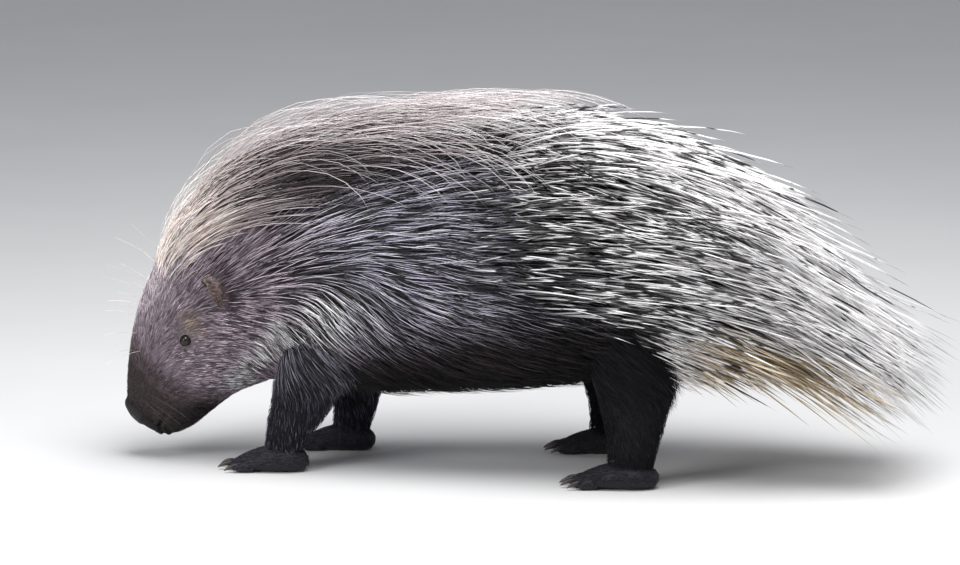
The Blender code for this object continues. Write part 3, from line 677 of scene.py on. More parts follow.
def limb_part(form, rings, sides, depth=0.0):
    """A limb's skin, depth inside its form, with each domed end drawn to a point."""
    stations = np.linspace(0, form.last, rings)
    front = -np.sin(np.linspace(math.pi / 2, 0, 6)[:-1]) if form.domes[0] else ()
    rear = form.last + np.sin(np.linspace(0, math.pi / 2, 6)[1:]) if form.domes[1] else ()
    stations = np.concatenate((front, stations, rear))

    def place(u, turn):
        _, outward, _, _ = form.frame(u, turn)
        over = np.clip(np.maximum(-u, u - form.last), 0, 1)
        return form.point(u, turn) - outward * (depth * np.cos(over * math.pi / 2))[..., None]

    return lofted(stations, sides, place)


def as_object(name, bm):
    return linked(name, mesh_from(name, bm))


def united(obj, pieces):
    """obj joined with all the pieces by one Boolean, which is applied."""
    group = bpy.data.collections.new("pieces")
    bpy.context.scene.collection.children.link(group)
    for piece in pieces:
        bpy.context.scene.collection.objects.unlink(piece)
        group.objects.link(piece)
    joint = obj.modifiers.new("union", "BOOLEAN")
    joint.operation, joint.operand_type, joint.solver = "UNION", "COLLECTION", "EXACT"
    joint.collection = group
    graph = bpy.context.evaluated_depsgraph_get()
    graph.update()
    mesh = bpy.data.meshes.new_from_object(obj.evaluated_get(graph))
    obj.modifiers.clear()
    obj.data = mesh
    for piece in pieces:
        bpy.data.objects.remove(piece)
    bpy.data.collections.remove(group)


def vertex_array(mesh):
    places = np.empty(len(mesh.vertices) * 3)
    mesh.vertices.foreach_get("co", places)
    return places.reshape(-1, 3)


def set_attribute(mesh, name, values):
    values = np.asarray(values, np.float32)
    if values.ndim == 2:
        layer = mesh.attributes.new(name, "FLOAT_COLOR", "POINT")
        layer.data.foreach_set("color", np.c_[values, np.ones(len(values))].ravel())
    else:
        layer = mesh.attributes.new(name, "FLOAT", "POINT")
        layer.data.foreach_set("value", values.ravel())


# The skin


def ear_axes(side):
    """Root of an ear, its way to the tip, its width and the way its hollow faces."""
    place, outward, along, down = body.frame(np.array(EAR_STATION), np.array(EAR_TURN * -side))
    along, down = unit(along), unit(down)
    rise = unit(outward * EAR_LEAN[0] + along * EAR_LEAN[1] - down * EAR_LEAN[2])
    hollow = outward * EAR_HOLLOW[0] + along * EAR_HOLLOW[1]
    hollow = unit(hollow - rise * dot(hollow, rise))
    across = unit(np.cross(hollow, rise))
    return place, rise, across, hollow


def ear_bmesh(side):
    """A small rounded ear, laid back, cupped outwards and a little rolled at its rim."""
    place, rise, across, hollow = ear_axes(side)
    bm = bmesh.new()
    bmesh.ops.create_grid(bm, x_segments=18, y_segments=16, size=1.0)
    for vertex in bm.verts:
        wide, high = vertex.co.x, (vertex.co.y + 1) / 2
        spread = EAR_HALF_WIDTH * math.sqrt(max(0.05, 1 - (1.30 * high - 0.42) ** 2))
        cup = EAR_CUP * (1 - wide**2) * (1 - 0.4 * high) - EAR_BEND * high**2 - 0.0018 * wide**8
        top = (EAR_HEIGHT + 0.004) * high * (1 - 0.12 * wide**2) - EAR_ROOT
        vertex.co = Vector(place + across * wide * spread + rise * top - hollow * cup)
    bmesh.ops.recalc_face_normals(bm, faces=bm.faces)
    bmesh.ops.solidify(bm, geom=bm.faces[:], thickness=EAR_THICKNESS)
    bmesh.ops.recalc_face_normals(bm, faces=bm.faces)
    return bm


class Ears:
    """The two ears' surfaces, to tell which places belong to them."""

    def __init__(self):
        places, rows = [], []
        for side in (LEFT, RIGHT):
            root, rise, across, hollow = ear_axes(side)
            bm = ear_bmesh(side)
            bm.normal_update()
            for vertex in bm.verts:
                away = np.array(vertex.co) - root
                high, wide = away @ rise / EAR_HEIGHT, away @ across / EAR_HALF_WIDTH
                places.append(np.array(vertex.co))
                rows.append((high, wide, np.array(vertex.normal) @ hollow, side))
            bm.free()
        self.rows = np.array(rows)
        self.tree = search_tree(places)

    def near(self, places):
        """For each place: metres to an ear, how high and wide on it, how deep in its cup, its side."""
        found = [self.tree.find(place) for place in places]
        away = np.array([row[2] for row in found])
        high, wide, inner, side = self.rows[[row[1] for row in found]].T
        deep = smooth(high, 0.55, 0.10) * smooth(np.abs(wide + 0.15), 0.95, 0.3) * (inner > 0.1)
        return away, high, wide, deep, side


def build_skin(finish):
    """One closed skin: body, tail, ears, legs, feet and toes."""
    stations = np.concatenate((
        -np.sin(np.linspace(math.pi / 2, 0, 22)[:-1]),
        np.arange(0.0, 1.6, 0.045),
        np.arange(1.6, 6.0, 0.10),
        np.arange(6.0, 14.0, 0.25),
        14.0 + np.sin(np.linspace(0, math.pi / 2, 8)),
    ))
    tail_end = tail.last + np.sin(np.linspace(0, math.pi / 2, 6))
    tail_stations = np.concatenate((np.arange(0, tail.last, 0.25), tail_end))

    def place(u, turn):
        return together(skin_place(u, turn)[0], u, -1.0, body.last + 1.0)

    def tail_place(u, turn):
        _, outward, _, _ = tail.frame(u, turn)
        return together(tail.point(u, turn) - outward * TAIL_DEPTH, u, tail.last + 1.0)

    skin = as_object("skin", lofted(stations, 150, place))
    parts = [as_object("tail_skin", lofted(tail_stations, 30, tail_place))]
    parts += [as_object("ear_skin", ear_bmesh(side)) for side in (LEFT, RIGHT)]
    for _, rows, side, plan in LEGS:
        leg, palm = leg_form(rows, side), palm_form(rows, side, plan)
        parts.append(as_object("leg_skin", limb_part(leg, 24, 28, LEG_DEPTH)))
        parts.append(as_object("palm_skin", limb_part(palm, 18, 28, PALM_DEPTH)))
        for toe, _ in toe_forms(rows, side, plan):
            parts.append(as_object("toe_skin", limb_part(toe, 12, 14, TOE_DEPTH)))
    united(skin, parts)
    bm = bmesh.new()
    bm.from_mesh(skin.data)
    bmesh.ops.remove_doubles(bm, verts=bm.verts, dist=1e-5)
    bmesh.ops.bisect_plane(
        bm, geom=bm.verts[:] + bm.edges[:] + bm.faces[:],
        plane_co=(0, 0, SOLE), plane_no=(0, 0, -1), clear_outer=True,
    )
    bmesh.ops.holes_fill(bm, edges=[edge for edge in bm.edges if edge.is_boundary])
    bmesh.ops.triangulate(bm, faces=[face for face in bm.faces if len(face.verts) > 4])
    bmesh.ops.recalc_face_normals(bm, faces=bm.faces)
    bm.to_mesh(skin.data)
    bm.free()
    skin.data.materials.clear()
    skin.data.materials.append(finish)
    skin.data.shade_smooth()
    return skin


def paint_skin(skin, ears):
    """Gives each point of the skin the colour of the nearest part, and marks bare hide."""
    u, turn = np.meshgrid(np.arange(-1, 15.01, 0.1), np.arange(-180, 180, 5.0))
    u, turn = u.ravel(), turn.ravel()
    points, _ = skin_place(u, turn)
    # Skin under the coat: the belly's black, partly painted shade, up to the back's brown.
    under = mix(BELLY_BLACK_AND_SHADE * 0.8, CREST_BROWN * 0.45, smooth(np.abs(turn), 120, 60))
    face = smooth(u, 6.5, 4.5)
    tint = mix(under, markings(u, turn) * 0.62, face)
    bare = smooth(u, -0.05, -0.35) * smooth(np.abs(turn), 110, 80)
    bare = np.maximum(bare, np.exp(-((near_line(u, turn, MOUTH_LINE) / 0.0030) ** 2)))
    socket = hill(u, np.abs(turn), EYE_STATION, EYE_TURN, 0.22, 9)
    tint = mix(tint, NOSE * 0.55, bare)
    tint = mix(tint, SOCKET_GREY, 0.8 * np.clip(socket * 1.4, 0, 1))
    places, tints = [points], [np.c_[tint, np.maximum(bare, 0.4 * socket)]]
    pairs = [(leg_form(rows, side), palm_form(rows, side, plan)) for _, rows, side, plan in LEGS]
    forms = [(form, form.last, LEG_BLACK * 0.5) for pair in pairs for form in pair]
    for form, last, base in forms + [(tail, tail.last + 1, QUILL_CREAM * 0.35)]:
        u, turn = np.meshgrid(np.linspace(0, last, 12), np.arange(0, 360, 30.0))
        points = form.point(u.ravel(), turn.ravel())
        sole = smooth(points[:, 2], 0.006, 0.002)
        places.append(points)
        tints.append(np.c_[mix(base, SOLE_BROWN, sole), sole])
    tints = np.concatenate(tints)
    tree = search_tree(np.concatenate(places))
    colours = np.empty((len(skin.data.vertices), 4))
    for k, vertex in enumerate(skin.data.vertices):
        found = tree.find_n(vertex.co, 3)
        weights = np.array([1 / (away + 1e-4) for _, _, away in found])
        colours[k] = weights @ tints[[index for _, index, _ in found]] / weights.sum()
    away, _, _, deep, _ = ears.near(vertex_array(skin.data))
    ear = smooth(away, 0.0026, 0.0010)
    colours[:, :3] = mix(colours[:, :3], mix(EAR_BROWN * 0.45, NOSE * 0.35, deep), ear)
    set_attribute(skin.data, "tint", colours[:, :3])
    set_attribute(skin.data, "bare", colours[:, 3])


# Eyes, lids and claws


def eye_axes(side):
    place, outward, along, _ = body.frame(np.array(EYE_STATION), np.array(EYE_TURN * -side))
    along = unit(along - outward * dot(along, outward))
    return place - outward * EYE_DEPTH, outward, along, unit(np.cross(outward, along)) * -side


def build_eye(side, finish):
    centre, outward, _, _ = eye_axes(side)
    bm = bmesh.new()
    bmesh.ops.create_uvsphere(bm, u_segments=40, v_segments=28, radius=1.0)
    turn = Vector(outward).to_track_quat("Z", "Y")
    gaze = []
    for vertex in bm.verts:
        away = math.acos(max(-1.0, min(1.0, vertex.co.z)))
        cornea = 0.06 * math.exp(-((away / 0.62) ** 4))
        gaze.append(away / (math.pi / 2))
        vertex.co = Vector(centre) + turn @ (vertex.co * (EYE_RADIUS * (1 + cornea)))
    eye = add_object(f"eyeball_{SIDES[side]}", mesh_from("eye", bm), finish)
    set_attribute(eye.data, "gaze", gaze)
    return eye


# Rings of the lids: half length and half height of the opening, share of the skin, height.
LIDS = (
    (0.0060, 0.0053, 0.0, -0.0006),
    (0.0062, 0.0055, 0.0, 0.0000),
    (0.0065, 0.0059, 0.0, 0.0003),
    (0.0069, 0.0064, 0.15, 0.0005),
    (0.0075, 0.0070, 0.45, 0.0001),
    (0.0083, 0.0079, 0.75, 0.0005),
    (0.0096, 0.0092, 0.95, 0.0002),
    (0.0114, 0.0110, 1.0, -0.0012),
)


def build_lids(side, finish):
    """Two lids that meet in corners: rings from the opening out to where the fur covers them."""
    centre, outward, along, down = eye_axes(side)
    shell = EYE_RADIUS * 1.06
    _, _, move, fall = body.frame(np.array(EYE_STATION), np.array(EYE_TURN * -side))

    def place(share, turn):
        row = through(LIDS, share * (len(LIDS) - 1))
        angle = np.radians(turn)
        corner = 1 + 0.10 * np.abs(np.cos(angle)) ** 6
        x, y = np.cos(angle) * row[..., 0] * corner, np.sin(angle) * row[..., 1]
        y = np.where(y < 0, y, y * 0.92)
        height = np.sqrt(np.maximum(shell**2 - x**2 - y**2, 0.0))
        on_eye = centre + along * x[..., None] + down * y[..., None] + outward * height[..., None]
        station = EYE_STATION + x / np.linalg.norm(move)
        turned = (EYE_TURN + y / np.linalg.norm(fall)) * -side
        on_skin, _ = skin_place(station, turned)
        points = on_eye + (on_skin - on_eye) * row[..., 2:3]
        return points + outward * row[..., 3:4]

    bm = wrapped_grid(48, 21, place, 1e-6)
    bmesh.ops.recalc_face_normals(bm, faces=bm.faces)
    front = max(bm.faces, key=lambda face: face.calc_center_median().dot(Vector(outward)))
    if front.normal.dot(Vector(outward)) < 0:
        bmesh.ops.reverse_faces(bm, faces=bm.faces)
    lids = add_object(f"lids_{SIDES[side]}", mesh_from("lids", bm), finish)
    away = np.linalg.norm(vertex_array(lids.data) - centre - outward * EYE_RADIUS, axis=1)
    edge = smooth(away, 0.0100, 0.0074)
    set_attribute(lids.data, "tint", mix(LID_GREY, LID_RIM, edge))
    set_attribute(lids.data, "bare", 0.4 + 0.6 * edge)
    return lids


def build_claws(finish):
    """All the claws in one piece."""
    whole = bmesh.new()
    layer = whole.verts.layers.float.new("along")
    for _, rows, side, plan in LEGS:
        for _, claw in toe_forms(rows, side, plan):
            mesh = mesh_from("claw", limb_part(claw, 10, 10))
            start = len(whole.verts)
            whole.from_mesh(mesh)
            bpy.data.meshes.remove(mesh)
            whole.verts.ensure_lookup_table()
            root, end = claw.rows[0][:3], claw.rows[-1][:3]
            reach = np.linalg.norm(end - root)
            for vertex in whole.verts[start:]:
                vertex[layer] = float(np.dot(np.array(vertex.co) - root, (end - root) / reach)) / reach
    return add_object("claws", mesh_from("claws", whole), finish)


# Strands


BODY_PATCH = (0.02, 0.58, 0.02, 0.96)  # where the unwrap holds the body: left, width, foot, height
PATCH = 0.003  # a strand's own size on the unwrap
CORNERS = np.array(((-0.5, -0.35), (0.5, -0.35), (0.0, 0.65)))  # a strand's section: wide, high
FUR_TAPER = ((0, 0.3, 1), (0.8, 1.0, 0.55))  # shares of a hair's length, and its width there


def body_patch(u, turn):
    """Where a root lies on the body's own unwrap."""
    left, width, foot, height = BODY_PATCH
    turn = (turn + 180) % 360
    return np.stack((left + width * turn / 360, foot + height * (u + 1) / (body.last + 2)), -1)


def strip_patch(number, u, turn):
    """Where a root lies on the strip of a limb: strips are counted from 0, four to a row."""
    left, foot = 0.63 + 0.09 * (number % 4), 0.03 + 0.32 * (number // 4)
    return np.stack((left + 0.08 * (turn % 360) / 360, foot + 0.29 * u), -1)


def strand_faces(rings):
    """The faces of one closed strand, as numbers of its points, and their places on its patch."""
    sides = len(CORNERS)
    faces, places = [tuple(range(sides))], [((0.5, 0.0),) * sides]
    for ring in range(rings):
        low, top = ring / rings, (ring + 1) / rings
        for s in range(sides):
            a, b = ring * sides + s, ring * sides + (s + 1) % sides
            left, right = s / sides, (s + 1) / sides
            if ring < rings - 1:
                faces.append((a, a + sides, b + sides, b))
                places.append(((left, low), (left, top), (right, top), (right, low)))
            else:
                faces.append((a, rings * sides, b))
                places.append(((left, low), ((s + 0.5) / sides, top), (right, low)))
    return faces, places


def strands(name, finish, slot, paths, ups, width, depth, taper, tint, patch, **floats):
    """A piece of closed tapered strands on paths (strand, ring, xyz), the last ring of each its tip.

    The depth is a share of the width. The floats are vertex attributes, by strand and ring."""
    sides = len(CORNERS)
    count, rings = paths.shape[0], paths.shape[1] - 1
    ahead = np.empty_like(paths[:, :-1])
    ahead[:, 1:] = paths[:, 2:] - paths[:, :-2]
    ahead[:, 0] = paths[:, 1] - paths[:, 0]
    ahead = unit(ahead)
    across = unit(np.cross(ahead, ups[:, :-1]))
    rise = np.cross(across, ahead)
    wide = (taper * width[:, None])[..., None, None] * CORNERS[:, 0][:, None]
    high = (taper * (width * depth)[:, None])[..., None, None] * CORNERS[:, 1][:, None]
    around = paths[:, :-1, None] + across[:, :, None] * wide + rise[:, :, None] * high
    points = np.concatenate((around.reshape(count, rings * sides, 3), paths[:, -1:]), axis=1)
    faces, places = strand_faces(rings)
    corners, places = np.concatenate(faces), np.concatenate(places)
    starts = np.cumsum([0] + [len(face) for face in faces[:-1]])
    strand = np.arange(count)[:, None]
    loops = corners + strand * points.shape[1]
    starts = starts + strand * len(corners)
    mesh = bpy.data.meshes.new(name)
    mesh.vertices.add(count * points.shape[1])
    mesh.vertices.foreach_set("co", points.astype(np.float32).ravel())
    mesh.loops.add(loops.size)
    mesh.loops.foreach_set("vertex_index", loops.astype(np.int32).ravel())
    mesh.polygons.add(starts.size)
    mesh.polygons.foreach_set("loop_start", starts.astype(np.int32).ravel())
    mesh.update(calc_edges=True)
    unwrap = mesh.uv_layers.new(name="OFBake")
    places = patch[:, None] + (places - 0.5) * PATCH
    unwrap.data.foreach_set("uv", places.astype(np.float32).ravel())

    def on_points(values):
        return np.concatenate((np.repeat(values[:, :-1], sides, axis=1), values[:, -1:]), axis=1)

    set_attribute(mesh, "tint", on_points(tint).reshape(-1, 3))
    for label, values in floats.items():
        set_attribute(mesh, label, on_points(values).ravel())
    fixed(add_object(name, mesh, finish))


def scatter(form, count, stations, turns, density=None):
    """About count roots spread evenly over a band of the form, on both sides."""
    tries = np.arange(1, count * 6 + 1)
    lengthways, downwards = evenly(tries)
    side = np.where(DRAW.random(len(tries)) < 0.5, 1.0, -1.0)
    u = part_way(stations, lengthways) + DRAW.normal(0, 0.02, len(tries))
    turn = part_way(turns, downwards) + DRAW.normal(0, 0.8, len(tries))
    u = np.clip(u, *stations)
    turn = np.abs(turn) * side
    _, _, along, down = form.frame(u, turn)
    area = np.linalg.norm(np.cross(along, down), axis=-1)
    if density is not None:
        area = area * density(u, np.abs(turn))
    kept = DRAW.random(len(tries)) < area * count / area.sum()
    return u[kept], turn[kept]


# Degrees that the coat runs down towards the tail: a station, then the degrees at each turn.
LIE_TURNS = (0, 45, 90, 135, 180)
LIE = np.array((
    (0.0, -74, -66, -50, -30, -20),
    (2.0, -78, -72, -36, -6, -6),
    (4.0, -72, -72, -15, 0, 0),
    (5.5, -60, -58, -20, 0, 0),
    (6.6, -42, -44, -14, 8, 10),
    (7.6, -25, -30, -5, 28, 26),
    (9.0, -10, -8, 8, 30, 22),
    (11.0, 4, 5, 9, 20, 12),
    (13.0, 16, 15, 16, 22, 12),
    (15.0, 24, 24, 26, 26, 14),
))
THROAT_LIE = (-3.0, 42.0)  # degrees ahead of the collar's line and behind it


def lie(u, turn, along):
    """The angle by which the coat runs down at a place; each strand flattens it to the skin."""
    t = np.abs(turn)
    slopes = np.stack([np.interp(u, LIE[:, 0], column) for column in LIE[:, 1:].T], -1)
    column = np.interp(t, LIE_TURNS, np.arange(len(LIE_TURNS)))
    low = np.floor(column).astype(int).clip(0, len(LIE_TURNS) - 2)
    pair = [np.take_along_axis(slopes, k[..., None], -1)[..., 0] for k in (low, low + 1)]
    throat = smooth(t, 70, 90) * smooth(u, 3.8, 4.8) * smooth(u, 9.6, 8.0)
    swept = part_way(THROAT_LIE, smooth(collar_line(u, t), -1.15, 0.1))
    return np.radians(part_way((part_way(pair, column - low), swept), throat))


def combed(u, turn, length, slope, heights, wander):
    """Paths over the skin, and the normals on them, for each strand and ring.

    The slope gives an angle downwards at a place, to which wander adds by strand and ring."""
    points, ups = [], []
    side = np.where(turn >= 0, 1.0, -1.0)
    step = length / (heights.shape[1] - 1)
    for height, turned in zip(heights.T, wander.T):
        here, outward, along, down = body.frame(u, turn)
        skin = here + outward * (folds(u, turn) - coat_depth(u))[..., None]
        points.append(skin + outward * height[:, None])
        ups.append(outward)
        angle = slope(u, turn, along) + turned
        way = np.stack((np.cos(angle), 0 * angle, -np.sin(angle)), -1)
        way = unit(way - outward * dot(way, outward))
        along_size, down_size = dot(along, along)[..., 0], dot(down, down)[..., 0]
        cross = dot(along, down)[..., 0]
        way_along, way_down = dot(way, along)[..., 0], dot(way, down)[..., 0]
        area = np.maximum(along_size * down_size - cross**2, 1e-14)
        move = step * (way_along * down_size - way_down * cross) / area
        u = np.clip(u + move, -0.9, body.last + 0.85)
        turn = turn + side * step * (way_down * along_size - way_along * cross) / area
    return np.stack(points, 1), np.stack(ups, 1)


def straight(starts, way, length, share):
    """Paths that leave their starts in a straight line, with rings at shares of the length."""
    return starts[:, None] + way[:, None] * (length[:, None] * share)[..., None]


def each_ring(values, rings):
    """The values of the strands, repeated for each ring."""
    return np.repeat(values[:, None], rings, axis=1)


def clumped(paths, cells, pull):
    """Draws the strands of each cell towards the one that leads it, more so at the tips."""
    order = np.argsort(cells, kind="stable")
    _, first, number = np.unique(cells[order], return_index=True, return_inverse=True)
    leaders = order[first][number]
    share = (np.linspace(0, 1, paths.shape[1]) ** 1.3)[:, None] * pull
    moved = paths.copy()
    moved[order] += (paths[leaders] - paths[order]) * share
    return moved


def shades(root, tip, rings, spread, power=1.0):
    """A tint for each ring, from root to tip, brighter or darker strand by strand."""
    share = (np.linspace(0, 1, rings) ** power)[:, None]
    colours = root[:, None] + (tip - root)[:, None] * share
    light = np.exp(DRAW.normal(0, spread, len(root)))[:, None, None]
    return np.clip(colours * light, 0.0, 1.0)


def inside_legs(points):
    """True where a root of the body's coat would lie in the flesh of a leg."""
    hidden = np.zeros(len(points), bool)
    z = points[:, 2]
    for _, rows, side, _ in LEGS:
        rows = np.array(rows)
        x, y, _, a, b = (np.interp(-z, -rows[:, 2], column) for column in rows.T)
        away = ((points[:, 0] - x) / (a - 0.006)) ** 2 + ((points[:, 1] - side * y) / (b - 0.006)) ** 2
        hidden |= (away < 1) & (z < rows[0, 2])
    return hidden


# The short coat of the body


SHORT_COAT = (
    # name, count, stations, turns, lengths, width, rings and tip, layer, clump, tone
    ("muzzle_fur", 8000, (-0.55, 2.0), (0, 180), (0.0035, 0.007), 0.0006, 3, (0.3, 1.0), 0.0, "mixed"),
    ("face_fur", 11600, (1.5, 4.9), (0, 180), (0.010, 0.018), 0.00065, 4, (0.3, 1.1), 0.15, "mixed"),
    ("nape_fur", 8000, (4.4, 6.6), (0, 180), (0.022, 0.040), 0.00085, 4, (0.4, 1.2), 0.25, "mixed"),
    ("shoulder_under", 8200, (6.2, 9.8), (0, 150), (0.036, 0.056), 0.0014, 4, (0.3, 0.75), 0.3, "dark"),
    ("shoulder_bristles", 5700, (6.0, 9.8), (14, 146), (0.05, 0.08), 0.00072, 5, (0.8, 1.25), 0.14, "light"),
    ("flank_under", 7800, (9.4, 13.8), (0, 150), (0.040, 0.060), 0.0014, 4, (0.3, 0.75), 0.3, "dark"),
    ("flank_bristles", 3300, (9.4, 12.8), (46, 146), (0.05, 0.082), 0.00074, 5, (0.8, 1.25), 0.14, "light"),
    ("belly_fur", 4600, (6.6, 14.4), (132, 180), (0.018, 0.030), 0.0013, 3, (0.1, 0.6), 0.15, "dark"),
    ("rump_underfur", 2600, (12.5, 14.95), (0, 180), (0.030, 0.050), 0.0013, 4, (0.4, 1.0), 0.2, "dark"),
)
COLLAR_CHANCE = {"dark": 0.0, "light": 0.70, "mixed": 0.62}  # that a hair on the collar is white


def short_coat(finish, ears):
    """Fur on the head, then bristles on neck, shoulder, flank, rump and belly."""

    def density(u, t):
        return np.where(u < 5.0, 1.0 + 1.2 * smooth(u, 2.2, 1.2) + 0.4 * smooth(u, 5.0, 4.0), 1.0)

    def light_density(u, t):
        stations = (6, 8, 9.4)
        return smooth(t, np.interp(u, stations, (24, 32, 20)), np.interp(u, stations, (50, 50, 40)))

    for name, count, stations, turns, reach, width, rings, layers, clump, tone in SHORT_COAT:
        u, turn = scatter(body, count, stations, turns, light_density if tone == "light" else density)
        points, _ = skin_place(u, turn)
        by_eye = np.hypot((u - EYE_STATION + 0.07) * 0.038, (np.abs(turn) - EYE_TURN) * 0.00105)
        has_ear = stations[0] < EAR_STATION < stations[1]
        by_ear = ears.near(points)[0] if has_ear else np.full(len(u), 1.0)
        bare = inside_legs(points) | (near_line(u, turn, MOUTH_LINE) < 0.0018)
        bare |= (u < -0.1) & (np.abs(turn) < 80)
        bare |= by_eye < np.where(u > EYE_STATION, 0.0086, 0.0098)
        bare |= by_ear < np.where(u > EAR_STATION + 0.15, 0.0015, 0.0040)
        u, turn, by_eye, by_ear = (values[~bare] for values in (u, turn, by_eye, by_ear))
        n, t = len(u), np.abs(turn)
        length = DRAW.uniform(*reach, n) * np.clip((by_eye - 0.002) / 0.018, 0.38, 1.0)
        if name == "nape_fur":
            length = length * (1 + 0.9 * smooth(t, 72, 34))
        ahead = smooth(u, EAR_STATION + 0.3, EAR_STATION)
        length = length * (1 - ahead * (1 - np.clip((by_ear + 0.002) / 0.024, 0.25, 1.0)))
        share = np.linspace(0, 1, rings)
        rise = smooth(share, 0.0, 0.55) * (coat_depth(u) * DRAW.uniform(*layers, n))[:, None]
        heights = rise - 0.0012 * (1 - share) + 0.0012 * share * DRAW.random(n)[:, None]
        phase = (u * 7.0 + turn * 0.05)[:, None]
        wave = np.radians(4) * np.sin(phase + share * 5.5) * smooth(u, 6.0, 8.0)[:, None]
        wander = np.radians(DRAW.normal(0, 5.5, n))[:, None] + wave
        paths, ups = combed(u, turn, length, lie, heights, wander)
        if clump:
            cells = np.floor(u * 6.5 + 3 * np.sin(turn * 0.11)) * 1000 + np.floor(turn / 2.2)
            paths = clumped(paths, cells, clump)
        if tone == "mixed":
            cheek = smooth(t, 70, 95) * smooth(u, 2.0, 3.2)
            light = np.where(DRAW.random(n) < 0.45, 1.8 + 1.1 * cheek, 0.66 - 0.26 * cheek)
        elif tone == "light":
            # Light strands: bright bluish-grey hairs among dark ones, a painted sheen on the dark coat,
            # fainter low on the flanks.
            lit = DRAW.random(n) < 0.54 - 0.10 * smooth(u, 8.0, 9.6)
            light = np.where(lit, DRAW.uniform(1.8, 3.6, n) * (1 - 0.4 * smooth(t, 104, 128)), 0.18)
        else:
            lit = DRAW.random(n) < 0.12 * smooth(u, 10.5, 9.0) * smooth(t, 126, 104)
            light = np.where(lit, 1.2, 0.16)
        tip = markings(u, turn) * light[:, None]
        root = tip * (0.40 - 0.26 * smooth(u, 4.5, 7.0))[:, None]
        white = np.exp(-(((collar_line(u, turn) + 0.58) / 0.45) ** 2))
        white = np.clip(white * smooth(t, 76, 90) * smooth(t, 168, 150) * 2.2, 0, 1)
        chosen = DRAW.random(n) < COLLAR_CHANCE[tone]
        tip = tip * (1 - 0.65 * white * ~chosen)[:, None]
        white = white * chosen
        tip = mix(tip, COLLAR_WHITE, white)
        root = mix(root, COLLAR_WHITE * 0.35, white)
        tint = shades(root, tip, rings, 0.28, 0.8)
        wide = width * DRAW.uniform(0.75, 1.25, n) * (1 + 0.3 * white)
        taper = np.interp(share[:-1], *FUR_TAPER)
        slot = "fur" if stations[0] < 5 else "dark_fur"
        strands(name, finish, slot, paths, ups, wide, 0.5, taper, tint, body_patch(u, turn))


# Crest


CREST = (
    # name, count, stations, turns, lengths, width, rings, how high of the crest's height
    # and how many degrees the tips turn down
    ("crest_under", 2700, (3.9, 8.2), (0, 58), (0.070, 0.130), 0.0011, 7, (0.10, 0.75), (0, 6)),
    ("crest_over", 2350, (4.3, 8.0), (0, 46), (0.130, 0.210), 0.0009, 9, (0.45, 1.05), (0, 10)),
    ("crest_drape", 420, (5.6, 8.8), (0, 34), (0.200, 0.330), 0.0008, 11, (0.95, 1.20), (25, 75)),
    ("crest_stray", 300, (4.2, 8.2), (0, 22), (0.180, 0.300), 0.0007, 11, (1.05, 1.95), (4, 34)),
)
# The crest's height by station, and how high a bristle runs by share of its length.
CREST_HEIGHT = ((3.9, 4.6, 5.5, 6.5, 8.0, 8.9), (0.006, 0.018, 0.029, 0.036, 0.042, 0.036))
CREST_ARCH = ((0, 0.12, 0.3, 0.5, 0.7, 0.88, 1.0), (0, 0.30, 0.66, 0.92, 1.0, 0.93, 0.76))


